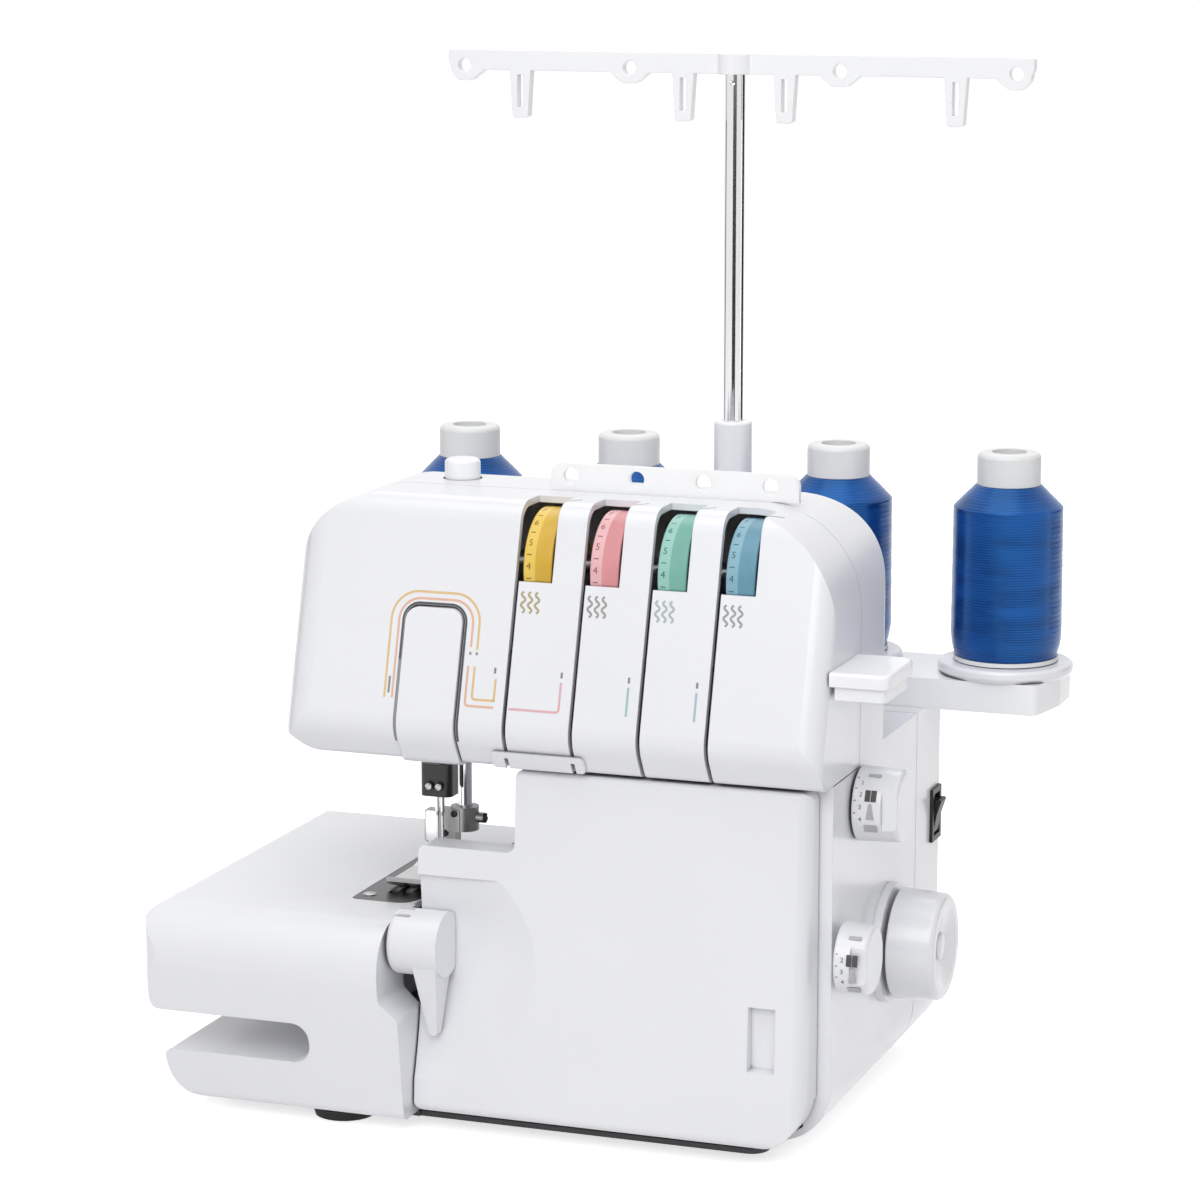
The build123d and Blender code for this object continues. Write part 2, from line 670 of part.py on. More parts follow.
def cover_form(inset):
    deep = BODY_FRONT - SEAM + (WALL if inset else 0)
    side = outline([
        (deep, COVER_LOW + inset, 0),
        (COVER_FRONT_LOW + inset, COVER_LOW + inset, 4),
        (COVER_FRONT_TOP + inset, COVER_TOP - inset, 3),
        (deep, COVER_TOP - inset, 0),
    ])
    front = outline([
        (BODY_LEFT, COVER_LOW, 5),
        (COVER_RIGHT, COVER_LOW, 22),
        (COVER_RIGHT, COVER_TOP, 5),
        (COLUMN_LEFT, COVER_TOP, 3),
        (COLUMN_LEFT, COVER_STEP, 4),
        (BODY_LEFT, COVER_STEP, 3),
    ])
    corners = outline([
        (BODY_LEFT, COVER_FRONT_LOW - 1, 0),
        (COVER_RIGHT, COVER_FRONT_LOW - 1, 9),
        (COVER_RIGHT, FAR, 0),
        (BODY_LEFT, FAR, 0),
    ])
    low = COVER_LOW - 5
    start = Plane.XY.offset(low) * Pos(0, COVER_LEAN * (low - COVER_LOW), 0)
    rise = (COVER_TOP + 5 - low) * sqrt(1 + COVER_LEAN * COVER_LEAN)
    leaning = extrude(start * inset_face(corners, inset), rise, dir=(0, COVER_LEAN, 1))
    form = prism_x(side, BODY_LEFT, COVER_RIGHT)
    form = form & prism_y(inset_face(front, inset), -FAR / 2, FAR / 2)
    return form & leaning


def cover_front_y(z):
    return COVER_FRONT_LOW + COVER_LEAN * (z - COVER_LOW)


def scoop(grow):
    """Hollow that leads cut-off fabric down past the knives, below the finger band."""
    middle_y = cover_front_y(SCOOP_Z) + SCOOP_DEPTH - SCOOP_RADIUS
    ball = Pos(BODY_LEFT + 4, middle_y, SCOOP_Z) * Sphere(SCOOP_RADIUS + grow)
    return ball & block(-FAR, FAR, -FAR, FAR, -FAR, COVER_STEP - COVER_BAND + grow)


def nose_form(inset):
    """Drum-shaped chute guide at the left end of the cover, with a tail that runs out below."""
    drum = rod_x(NOSE_RADIUS - inset, NOSE_LEFT + inset, NOSE_RIGHT - inset, NOSE_Y, NOSE_Z)
    if inset == 0:
        drum = fillet(drum.edges().group_by(Axis.X)[0], 3)
    return drum


def nose_tail():
    tail = outline([
        (BODY_LEFT + 3, NOSE_Z, 0),
        (NOSE_RIGHT, NOSE_Z, 0),
        (NOSE_RIGHT - 5, NOSE_TIP_Z, 2),
        (NOSE_RIGHT - 9, NOSE_TIP_Z, 2),
    ])
    side = outline([
        (NOSE_Y - NOSE_RADIUS, NOSE_Z, 0),
        (NOSE_Y + 8, NOSE_Z, 0),
        (cover_front_y(NOSE_TIP_Z) + WALL, NOSE_TIP_Z, 0),
        (cover_front_y(NOSE_TIP_Z) - 1, NOSE_TIP_Z, 0),
    ])
    return prism_y(tail, -FAR / 2, FAR / 2) & prism_x(side, BODY_LEFT, NOSE_RIGHT)


def front_cover():
    outer = cover_form(0) - scoop(0)
    inner = cover_form(WALL) - scoop(WALL)
    under = block(BODY_LEFT + WALL, COVER_RIGHT - 24, cover_front_y(COVER_LOW) + WALL, 0,
                  COVER_LOW - 1, COVER_LOW + WALL + 1)
    shell = outer - inner - under
    nose = nose_form(0) + nose_tail()
    nose = nose & block(-FAR, FAR, -FAR, BODY_FRONT - SEAM, 0, FAR)
    shell = shell + nose
    shell = shell - (nose_form(WALL) & block(NOSE_LEFT, FAR, NOSE_Y + 4, FAR, 0, FAR))
    for y in (NOSE_Y - 7, NOSE_Y - 1):
        shell = shell - block(NOSE_LEFT - 1, NOSE_LEFT + 9, y, y + 1.6, NOSE_Z + NOSE_RADIUS - 4, FAR)
    pocket = block(RECESS_X - RECESS_WIDE / 2, RECESS_X + RECESS_WIDE / 2,
                   -FAR, cover_front_y(RECESS_LOW) + RECESS_DEEP,
                   RECESS_LOW, RECESS_LOW + RECESS_TALL)
    box = block(RECESS_X - RECESS_WIDE / 2 - WALL, RECESS_X + RECESS_WIDE / 2 + WALL,
                cover_front_y(RECESS_LOW) + WALL, cover_front_y(RECESS_LOW) + RECESS_DEEP + WALL,
                RECESS_LOW - WALL, RECESS_LOW + RECESS_TALL + WALL)
    heel = block(BODY_LEFT - 1, COVER_RIGHT + 1, BODY_FRONT - SEAM - HEEL_ROOM, 0, 0, HINGE_Z + HEEL_RISE)
    shell = shell + box - pocket - heel
    for x in sleeve_places():
        ear = block(x - 3, x + 3, cover_front_y(HINGE_Z) + 1, HINGE_Y, HINGE_Z - 4, HINGE_Z + 4)
        ear = ear + rod_x(SLEEVE_OUT + HINGE_EYE, x - 3, x + 3, HINGE_Y, HINGE_Z)
        shell = shell + ear - rod_x(SLEEVE_OUT + RUN_FIT, x - 4, x + 4, HINGE_Y, HINGE_Z)
    return shell


def sleeve_places():
    return [BODY_LEFT + 38, COVER_RIGHT - 52]


def cover_hinge_rod():
    left = BODY_LEFT + 18
    right = COVER_RIGHT - 28
    rod = rod_x(HINGE_ROD, left, right, HINGE_Y, HINGE_Z)
    for x in (left, right - 5):
        arm = block(x, x + 5, HINGE_Y, BODY_FRONT + 4, HINGE_Z - 2.5, HINGE_Z + 2.5)
        leg = block(x, x + 5, BODY_FRONT - 2, BODY_FRONT + 4, BASE_TOP, HINGE_Z)
        rod = rod + arm + leg + rod_x(HINGE_ROD + 2, x, x + 5, HINGE_Y, HINGE_Z)
    return rod


def cover_sleeves():
    solids = []
    for x in sleeve_places():
        sleeve = rod_x(SLEEVE_OUT, x - SLEEVE_LONG / 2, x + SLEEVE_LONG / 2, HINGE_Y, HINGE_Z)
        flange_x = x - 3 - CLEAR
        flange = rod_x(SLEEVE_OUT + 1, flange_x - 2, flange_x, HINGE_Y, HINGE_Z)
        bore = rod_x(HINGE_ROD + RUN_FIT, x - SLEEVE_LONG, x + SLEEVE_LONG, HINGE_Y, HINGE_Z)
        solids.append(sleeve + flange - bore)
    return solids


# Base and frame

def base_plate():
    plan = outline([
        (BED_LEFT + 24, BED_FRONT_LOW + BED_SHY, 14),
        (BODY_LEFT, BED_FRONT_LOW + BED_SHY, 0),
        (BODY_LEFT, COVER_FRONT_LOW + BASE_SHY, 0),
        (BODY_RIGHT - BODY_HEEL, COVER_FRONT_LOW + BASE_SHY, 8),
        (BODY_RIGHT - BODY_HEEL, BODY_BACK - 5, 10),
        (BED_LEFT + 24, BODY_BACK - 30, 14),
    ])
    return prism_z(plan, FOOT_HEIGHT, BASE_TOP)


def rubber_feet():
    return [
        turned_z([
            (0, 0, 0),
            (FOOT_RADIUS - 1.5, 0, 0),
            (FOOT_RADIUS, FOOT_HEIGHT, 0),
            (0, FOOT_HEIGHT, 0),
        ], x, y)
        for x, y in FOOT_PLACES
    ]


def frame_casting():
    """One casting: plinth, two bearing walls, front rib, column, beam and the boss pair in the head."""
    left = BEARING_X[0]
    right = BEARING_X[1] + BEARING_WIDE
    rib_back = RIB_Y + RIB_THICK
    boss_left = NEEDLE_X - 14
    boss_right = NEEDLE_X + 16
    casting = block(left, right, RIB_Y, SHAFT_Y + PLINTH_DEEP, BASE_TOP, BASE_TOP + RIB_THICK)
    for x in BEARING_X:
        wall = outline([
            (RIB_Y, BASE_TOP, 0),
            (SHAFT_Y + PLINTH_DEEP, BASE_TOP, 0),
            (SHAFT_Y + 14, SHAFT_Z + 14, 12),
            (RIB_Y, SHAFT_Z + 14, 6),
        ])
        casting = casting + prism_x(wall, x, x + BEARING_WIDE)
    casting = casting + block(left, right, RIB_Y, rib_back, BASE_TOP, SHAFT_Z - 10)
    casting = casting + block(UPPER_LOOPER_X - 9, UPPER_LOOPER_X + 9, RIB_Y, rib_back,
                              BASE_TOP, UPPER_LOOPER_Z + 8)
    casting = casting + looper_pin(UPPER_LOOPER_X, UPPER_LOOPER_Y, UPPER_LOOPER_Z)
    casting = casting + looper_pin(LOWER_LOOPER_X, LOWER_LOOPER_Y, LOWER_LOOPER_Z)
    casting = casting + block(COLUMN_X, COLUMN_X + COLUMN_WIDE, RIB_Y, rib_back, BASE_TOP, SHAFT_Z + 20)
    casting = casting + block(COLUMN_X, COLUMN_X + COLUMN_WIDE, RIB_Y, RIB_Y + COLUMN_DEEP,
                              SHAFT_Z + 16, BEAM_Z + 4)
    casting = casting + block(boss_left, COLUMN_X + COLUMN_WIDE + BEAM_OVERHANG, BEAM_Y, BEAM_BACK,
                              BEAM_Z, BEAM_TOP)
    casting = casting + block(boss_left, boss_right, BEAM_Y, BEAM_BACK, BOSS_LOW, BOSS_HIGH + BOSS_TALL)
    casting = casting - rod_z(PRESSER_BAR + 2, BOSS_LOW, BOSS_HIGH + BOSS_TALL, PRESSER_X, PRESSER_Y)
    for z in (BOSS_LOW, BOSS_HIGH):
        boss = outline([
            (boss_left, BEAM_BACK, 2),
            (boss_right, BEAM_BACK, 2),
            (PRESSER_X + PRESSER_BUSH + 2, PRESSER_Y - 12, 6),
            (NEEDLE_X + 8, -NEEDLE_BUSH - 3, 6),
            (NEEDLE_X - 8, -NEEDLE_BUSH - 3, 6),
        ])
        casting = casting + prism_z(boss, z, z + BOSS_TALL)
        casting = casting - rod_z(NEEDLE_BUSH, z - 1, z + BOSS_TALL + 1, NEEDLE_X, 0)
        casting = casting - rod_z(PRESSER_BUSH, z - 1, z + BOSS_TALL + 1, PRESSER_X, PRESSER_Y)
    shelf_front = PLATE_BACK - 14
    plate_low = BED_TOP - PLATE_THICK
    rail_top = FEED_LOW - CLEAR
    casting = casting + block(PLATE_LEFT + 3, left + 4, shelf_front, PLATE_BACK - 3,
                              SHAFT_Z + SHAFT + 4, plate_low)
    casting = casting + block(FEED_LEFT_ROW - 2, FEED_RIGHT_END, -FEED_REACH - 4, shelf_front + 4,
                              rail_top - 5, rail_top)
    casting = casting + block(FEED_LEFT_ROW - 2, FEED_RIGHT_END, shelf_front, shelf_front + 4,
                              rail_top - 5, plate_low)
    casting = casting + rod_x(LIFTER_PIN, PRESSER_X + PRESSER_BUSH + 1, LIFTER_X + LIFTER_WIDE / 2 + 2,
                              LIFTER_Y, LIFTER_Z)
    return casting - rod_x(SHAFT_BUSH, 0, FAR, SHAFT_Y, SHAFT_Z)


def bronze_bushes():
    solids = []
    for x in BEARING_X:
        bush = rod_x(SHAFT_BUSH, x, x + BEARING_WIDE, SHAFT_Y, SHAFT_Z)
        solids.append(bush - rod_x(SHAFT + RUN_FIT, x - 1, x + BEARING_WIDE + 1, SHAFT_Y, SHAFT_Z))
    for z in (BOSS_LOW, BOSS_HIGH):
        bush = rod_z(NEEDLE_BUSH, z, z + BOSS_TALL, NEEDLE_X, 0)
        solids.append(bush - rod_z(NEEDLE_BAR + RUN_FIT, z - 1, z + BOSS_TALL + 1, NEEDLE_X, 0))
        bush = rod_z(PRESSER_BUSH, z, z + BOSS_TALL, PRESSER_X, PRESSER_Y)
        bore = rod_z(PRESSER_BAR + RUN_FIT, z - 1, z + BOSS_TALL + 1, PRESSER_X, PRESSER_Y)
        solids.append(bush - bore)
    return solids


# Drive train

def main_shaft():
    shaft = rod_x(SHAFT, SHAFT_LEFT, WHEEL_END - 6, SHAFT_Y, SHAFT_Z)
    for x, throw in ECCENTRICS:
        shaft = shaft + rod_x(SHAFT + ECCENTRIC_RIM, x, x + ECCENTRIC_WIDE, SHAFT_Y, SHAFT_Z + throw)
    return shaft


def handwheel():
    wheel = turned_x([
        (WHEEL_START, SHAFT + GUIDE_FIT, 0),
        (WHEEL_START, WHEEL_RADIUS, 1),
        (WHEEL_END, WHEEL_RADIUS - 1, 3),
        (WHEEL_END, WHEEL_RADIUS - 7, 1),
        (WHEEL_END - 3, 7, 2),
        (WHEEL_END - 3, SHAFT + GUIDE_FIT, 0),
    ], SHAFT_Y, SHAFT_Z)
    return wheel


def grooved_pulley(radius, bore, x, wide, y, z):
    """Belt pulley with two flanges, bored for its shaft."""
    rim = 1.5
    return turned_x([
        (x, bore, 0),
        (x, radius + rim, 0),
        (x + rim, radius + rim, 0),
        (x + rim, radius, 0),
        (x + wide - rim, radius, 0),
        (x + wide - rim, radius + rim, 0),
        (x + wide, radius + rim, 0),
        (x + wide, bore, 0),
    ], y, z)


def drive_pulley():
    wheel = grooved_pulley(PULLEY_RADIUS, SHAFT + GUIDE_FIT, PULLEY_X, PULLEY_WIDE, SHAFT_Y, SHAFT_Z)
    for turn in range(5):
        angle = radians(72 * turn)
        y = SHAFT_Y + 18 * cos(angle)
        z = SHAFT_Z + 18 * sin(angle)
        wheel = wheel - rod_x(6, PULLEY_X - 1, PULLEY_X + PULLEY_WIDE + 1, y, z)
    return wheel


def motor_pulley():
    """Pulley fast on the end of the armature shaft."""
    pulley = grooved_pulley(MOTOR_PULLEY, MOTOR_SHAFT / 2, PULLEY_X, PULLEY_WIDE, MOTOR_Y, MOTOR_Z)
    return pulley + rod_x(MOTOR_SHAFT, MOTOR_LEFT + MOTOR_LONG - 20, PULLEY_X + PULLEY_WIDE, MOTOR_Y, MOTOR_Z)


def motor():
    can = turned_x([
        (MOTOR_LEFT, 0, 0),
        (MOTOR_LEFT, 9, 0),
        (MOTOR_LEFT + 6, 9, 0),
        (MOTOR_LEFT + 6, MOTOR_RADIUS, 3),
        (MOTOR_LEFT + MOTOR_LONG - 6, MOTOR_RADIUS, 3),
        (MOTOR_LEFT + MOTOR_LONG - 6, 9, 0),
        (MOTOR_LEFT + MOTOR_LONG, 9, 0),
        (MOTOR_LEFT + MOTOR_LONG, 0, 0),
    ], MOTOR_Y, MOTOR_Z)
    for x in (MOTOR_LEFT + 12, MOTOR_LEFT + MOTOR_LONG - 22):
        can = can + block(x, x + 10, MOTOR_Y - 18, MOTOR_Y + 18, BASE_TOP, MOTOR_Z - 10)
    hole = rod_x(MOTOR_SHAFT + RUN_FIT, MOTOR_LEFT + MOTOR_LONG - 22, FAR, MOTOR_Y, MOTOR_Z)
    return can - hole


def belt_loop(gap, wide):
    """Filled outline of the belt at a gap outside both pulleys, as a prism."""
    big = PULLEY_RADIUS + gap
    small = MOTOR_PULLEY + gap
    dy = MOTOR_Y - SHAFT_Y
    dz = MOTOR_Z - SHAFT_Z
    span = sqrt(dy * dy + dz * dz)
    tilt = atan2(dz, dy)
    lift = (big - small) / span
    run = sqrt(1 - lift * lift)
    x = PULLEY_X + PULLEY_WIDE / 2
    loop = rod_x(big, x - wide / 2, x + wide / 2, SHAFT_Y, SHAFT_Z)
    loop = loop + rod_x(small, x - wide / 2, x + wide / 2, MOTOR_Y, MOTOR_Z)
    corners = []
    for side in (1, -1):
        ny = lift * cos(tilt) - side * run * sin(tilt)
        nz = lift * sin(tilt) + side * run * cos(tilt)
        corners.append((SHAFT_Y + big * ny, SHAFT_Z + big * nz))
        corners.append((MOTOR_Y + small * ny, MOTOR_Z + small * nz))
    order = [corners[0], corners[1], corners[3], corners[2]]
    return loop + prism_x(outline([(y, z, 0) for y, z in order]), x - wide / 2, x + wide / 2)


def drive_belt():
    return belt_loop(CLEAR + BELT_THICK, BELT_WIDE) - belt_loop(CLEAR, BELT_WIDE + 2)


# Needle and presser works

def needle_bar():
    return rod_z(NEEDLE_BAR, CLAMP_LOW + 4, BOSS_HIGH + BOSS_TALL + 22, NEEDLE_X, 0)


def needle_clamp():
    body = outline([
        (NEEDLE_X - CLAMP_WIDE / 2, -CLAMP_DEEP / 2, 3),
        (NEEDLE_X + CLAMP_WIDE / 2, -CLAMP_DEEP / 2, 3),
        (NEEDLE_X + CLAMP_WIDE / 2, CLAMP_DEEP / 2, 3),
        (NEEDLE_X - CLAMP_WIDE / 2, CLAMP_DEEP / 2, 3),
    ])
    clamp = prism_z(body, CLAMP_LOW, CLAMP_LOW + CLAMP_TALL)
    clamp = clamp - rod_z(NEEDLE_BAR + GUIDE_FIT, CLAMP_LOW + 4, FAR, NEEDLE_X, 0)
    for x in needle_places():
        clamp = clamp - rod_z(1 + GUIDE_FIT, 0, CLAMP_LOW + 4.5, x, 0)
        clamp = clamp + rod_y(1.9, -CLAMP_DEEP / 2 - 1.6, -CLAMP_DEEP / 2, x * 2 - NEEDLE_X, CLAMP_LOW + 5)
    return clamp


def needle_places():
    return [NEEDLE_X - NEEDLE_GAP / 2, NEEDLE_X + NEEDLE_GAP / 2]


def needles():
    tip = CLAMP_LOW - NEEDLE_LONG
    return [
        turned_z([
            (0, tip, 0),
            (0.6, tip + 4, 0),
            (0.6, CLAMP_LOW - 10, 0),
            (1.0, CLAMP_LOW - 8, 0),
            (1.0, CLAMP_LOW + 4, 0),
            (0, CLAMP_LOW + 4, 0),
        ], x, 0)
        for x in needle_places()
    ]


def presser_bar():
    return rod_z(PRESSER_BAR, ANKLE_TOP - 10, PRESSER_TOP, PRESSER_X, PRESSER_Y)


def presser_ankle():
    """Clamp on the presser bar with a forward ankle that holds the foot on a cross pin."""
    clamp = rod_z(PRESSER_BAR + 3, ANKLE_TOP - 11, ANKLE_TOP, PRESSER_X, PRESSER_Y)
    neck = block(ANKLE_X - ANKLE_HALF, PRESSER_X, ANKLE_PIN_Y - 3, PRESSER_Y, ANKLE_TOP - 11, ANKLE_TOP - 1)
    shank = outline([
        (ANKLE_PIN_Y - 3, ANKLE_TOP - 1, 2),
        (ANKLE_PIN_Y + 5, ANKLE_TOP - 1, 2),
        (ANKLE_PIN_Y + 3, ANKLE_PIN_Z - 3, 3),
        (ANKLE_PIN_Y - 3, ANKLE_PIN_Z - 3, 3),
    ])
    guard = outline([
        (ANKLE_X, ANKLE_TOP - 1, 0),
        (ANKLE_X, ANKLE_TOP - 1 - ANKLE_GUARD_TALL, 0),
        (ANKLE_X - ANKLE_HALF - ANKLE_GUARD, ANKLE_TOP - 1 - ANKLE_GUARD_TALL, 2),
        (ANKLE_X - ANKLE_HALF - ANKLE_GUARD, ANKLE_TOP - 1, 2),
    ])
    ankle = clamp + neck + prism_x(shank, ANKLE_X - ANKLE_HALF, ANKLE_X + ANKLE_HALF)
    ankle = ankle + prism_y(guard, ANKLE_PIN_Y - 3, ANKLE_PIN_Y)
    ankle = ankle + rod_x(ANKLE_PIN, ANKLE_X - ANKLE_HALF - 4, ANKLE_X + ANKLE_HALF + 3,
                          ANKLE_PIN_Y, ANKLE_PIN_Z)
    ankle = ankle + rod_x(2.4, PRESSER_X + 2, PRESSER_X + PRESSER_BAR + 6, PRESSER_Y, ANKLE_TOP - 5)
    return ankle - rod_z(PRESSER_BAR + GUIDE_FIT, ANKLE_TOP - 10, FAR, PRESSER_X, PRESSER_Y)


def presser_foot():
    """Foot that tips toe up about the ankle pin, with its heel relieved for that tilt."""
    side = outline([
        (FOOT_FRONT, SOLE_Z + 3.5, 0),
        (FOOT_FRONT + 7, SOLE_Z, 4),
        (ANKLE_PIN_Y - 2, SOLE_Z, 0),
        (FOOT_BACK, SOLE_Z + (FOOT_BACK - ANKLE_PIN_Y + 4) * tan(radians(FOOT_TILT)), 0),
        (FOOT_BACK, SOLE_Z + FOOT_SOLE + 2, 0),
        (ANKLE_PIN_Y, SOLE_Z + FOOT_SOLE, 0),
        (FOOT_FRONT + 6, SOLE_Z + FOOT_SOLE, 4),
        (FOOT_FRONT, SOLE_Z + 3.5 + FOOT_SOLE, 0),
    ])
    plan = outline([
        (FOOT_LEFT, FOOT_FRONT, 3),
        (FOOT_RIGHT, FOOT_FRONT, 1),
        (FOOT_RIGHT, FOOT_BACK, 2),
        (FOOT_LEFT, FOOT_BACK, 3),
    ])
    sole = prism_x(side, FOOT_LEFT, FOOT_RIGHT) & prism_z(plan, 0, FAR)
    foot = sole - needle_slot()
    for x in (ANKLE_X - ANKLE_HALF - CLEAR - 2, ANKLE_X + ANKLE_HALF + CLEAR):
        ear = outline([
            (ANKLE_PIN_Y - 4, SOLE_Z + 1, 0),
            (ANKLE_PIN_Y + 4, SOLE_Z + 1, 0),
            (ANKLE_PIN_Y + 4, ANKLE_PIN_Z + 4, 3.5),
            (ANKLE_PIN_Y - 4, ANKLE_PIN_Z + 4, 3.5),
        ])
        foot = foot + prism_x(ear, x, x + 2)
    return foot - rod_x(ANKLE_PIN + RUN_FIT, -FAR, FAR, ANKLE_PIN_Y, ANKLE_PIN_Z)


def pressure_knob():
    knob = turned_z([
        (0, HEAD_TOP - 8, 0),
        (KNOB_RADIUS, HEAD_TOP - 8, 0),
        (KNOB_RADIUS, HEAD_TOP + KNOB_PROUD, 2),
        (0, HEAD_TOP + KNOB_PROUD, 0),
    ], PRESSER_X, PRESSER_Y)
    stem = rod_z(3, PRESSER_TOP + PRESSER_LIFT + LOOSE, HEAD_TOP - 8, PRESSER_X, PRESSER_Y)
    return knob + stem


def lifter_lever():
    """Lever on the frame that reaches out behind the head and raises the presser bar."""
    arm = outline([
        (LIFTER_Y, LIFTER_Z - 5, 0),
        (LIFTER_Y + LIFTER_BEND, LIFTER_Z - 5, 20),
        (LIFTER_Y + LIFTER_REACH, LIFTER_Z - 9, 2),
        (LIFTER_Y + LIFTER_REACH, LIFTER_Z - 3, 2),
        (LIFTER_Y + LIFTER_BEND - 2, LIFTER_Z + 2, 20),
        (LIFTER_Y, LIFTER_Z + 5, 0),
    ])
    eye = rod_x(LIFTER_PIN + 3, LIFTER_X - LIFTER_WIDE / 2, LIFTER_X + LIFTER_WIDE / 2, LIFTER_Y, LIFTER_Z)
    lever = prism_x(arm, LIFTER_X - LIFTER_WIDE / 2, LIFTER_X + LIFTER_WIDE / 2) + eye
    return lever - rod_x(LIFTER_PIN + RUN_FIT, 0, FAR, LIFTER_Y, LIFTER_Z)


# Plate, feed, loopers and knives

def plate_face(inset):
    return inset_face(outline([
        (PLATE_LEFT, PLATE_FRONT, 3),
        (PLATE_RIGHT - 6, PLATE_FRONT, 8),
        (PLATE_RIGHT, PLATE_FRONT + 26, 8),
        (PLATE_RIGHT, PLATE_BACK, 2),
        (PLATE_LEFT, PLATE_BACK, 3),
    ]), inset)


def needle_plate():
    plate = prism_z(plate_face(0), BED_TOP - PLATE_THICK, BED_TOP)
    plate = plate - needle_slot()
    for x in (FEED_LEFT_ROW, FEED_RIGHT_ROW):
        plate = plate - block(x - CLEAR, x + FEED_WIDE + CLEAR, -FEED_REACH - 4, FEED_REACH + 4, 0, FAR)
    return plate - knife_notch()


def needle_slot():
    return block(NEEDLE_X - NEEDLE_SLOT_X, NEEDLE_X + NEEDLE_SLOT_X, -NEEDLE_SLOT_Y, NEEDLE_SLOT_Y, 0, FAR)


def knife_notch():
    return block(KNIFE_X - 2 * KNIFE_THICK - CLEAR, FAR, KNIFE_Y - 5 - CLEAR, KNIFE_Y + 5 + CLEAR, 0, FAR)


def feed_dog(front, back):
    """Two toothed rows on a common carrier below the needle plate."""
    top = BED_TOP + FEED_TOOTH
    teeth = int((back - front) / FEED_PITCH)
    dog = block(FEED_LEFT_ROW, FEED_RIGHT_END, front, back, FEED_LOW, FEED_LOW + FEED_BAR)
    for x in (FEED_LEFT_ROW, FEED_RIGHT_ROW):
        row = block(x, x + FEED_WIDE, front, back, FEED_LOW, BED_TOP)
        for i in range(teeth):
            y = front + FEED_PITCH * i
            tooth = outline([(y, BED_TOP, 0), (y + FEED_PITCH, BED_TOP, 0), (y + FEED_PITCH, top, 0)])
            row = row + prism_x(tooth, x, x + FEED_WIDE)
        dog = dog + row
    return dog


def main_feed_dog():
    return feed_dog(FEED_NEAR, FEED_REACH)


def differential_feed_dog():
    return feed_dog(-FEED_REACH, -FEED_NEAR)


def looper_arm(pivot_x, pivot_z, y, reach, rise):
    """Flat looper: a pivot eye, a rising shank and a thin blade that runs out to a point on the left."""
    top = pivot_z + rise
    blade = outline([
        (pivot_x - 5, pivot_z + 1, 2),
        (pivot_x + 5, pivot_z + 1, 2),
        (pivot_x + 1, top, 7),
        (pivot_x - reach, top - 1, 0),
        (pivot_x - reach + 11, top - 4.5, 0),
        (pivot_x - 7, top - 8, 5),
    ])
    arm = prism_y(blade, y - LOOPER_THICK / 2, y + LOOPER_THICK / 2)
    arm = arm + rod_y(LOOPER_PIN + 3, y - LOOPER_THICK / 2 - 1, y + LOOPER_THICK / 2 + 1, pivot_x, pivot_z)
    return arm - rod_y(LOOPER_PIN + RUN_FIT, y - 10, y + 10, pivot_x, pivot_z)


def upper_looper():
    return looper_arm(UPPER_LOOPER_X, UPPER_LOOPER_Z, UPPER_LOOPER_Y, UPPER_REACH, UPPER_RISE)


def lower_looper():
    return looper_arm(LOWER_LOOPER_X, LOWER_LOOPER_Z, LOWER_LOOPER_Y, LOWER_REACH, LOWER_RISE)


def looper_pin(x, y, z):
    """Pin that carries a looper in front of the frame rib, with its retaining collar."""
    collar = rod_y(LOOPER_PIN + 2, y - LOOPER_THICK / 2 - 4, y - LOOPER_THICK / 2 - 1 - CLEAR, x, z)
    shoulder = rod_y(LOOPER_PIN + 2, y + LOOPER_THICK / 2 + 1 + CLEAR, RIB_Y, x, z)
    return rod_y(LOOPER_PIN, y - LOOPER_THICK / 2 - 4, RIB_Y, x, z) + collar + shoulder


def lower_knife():
    blade = outline([
        (KNIFE_Y - 5, BED_TOP - 30, 0),
        (KNIFE_Y + 5, BED_TOP - 30, 0),
        (KNIFE_Y + 5, BED_TOP, 0),
        (KNIFE_Y - 5, BED_TOP - 1.5, 0),
    ])
    return prism_x(blade, KNIFE_X - 2 * KNIFE_THICK, KNIFE_X - KNIFE_THICK)


def upper_knife():
    """Moving blade, hooked over from a carriage that rides on an upright guide post."""
    blade = outline([
        (KNIFE_Y - 5, BED_TOP - 30, 0),
        (KNIFE_Y + 4, BED_TOP - 30, 0),
        (KNIFE_Y + 4, BED_TOP + 1, 0),
        (KNIFE_Y - 5, BED_TOP + 3, 0),
    ])
    return prism_x(blade, KNIFE_X - KNIFE_THICK + 0.2, KNIFE_X)


def knife_carriage():
    low = BED_TOP - CARRIAGE_DROP
    top = low + CARRIAGE_TALL
    body = block(KNIFE_X, KNIFE_GUIDE_X + CARRIAGE_HALF,
                 KNIFE_GUIDE_Y - CARRIAGE_HALF, KNIFE_GUIDE_Y + CARRIAGE_HALF, low, top)
    arm = block(KNIFE_X, KNIFE_X + 5, KNIFE_GUIDE_Y, KNIFE_Y + 4, low, top)
    bore = rod_z(KNIFE_GUIDE + RUN_FIT, 0, FAR, KNIFE_GUIDE_X, KNIFE_GUIDE_Y)
    return body + arm - bore


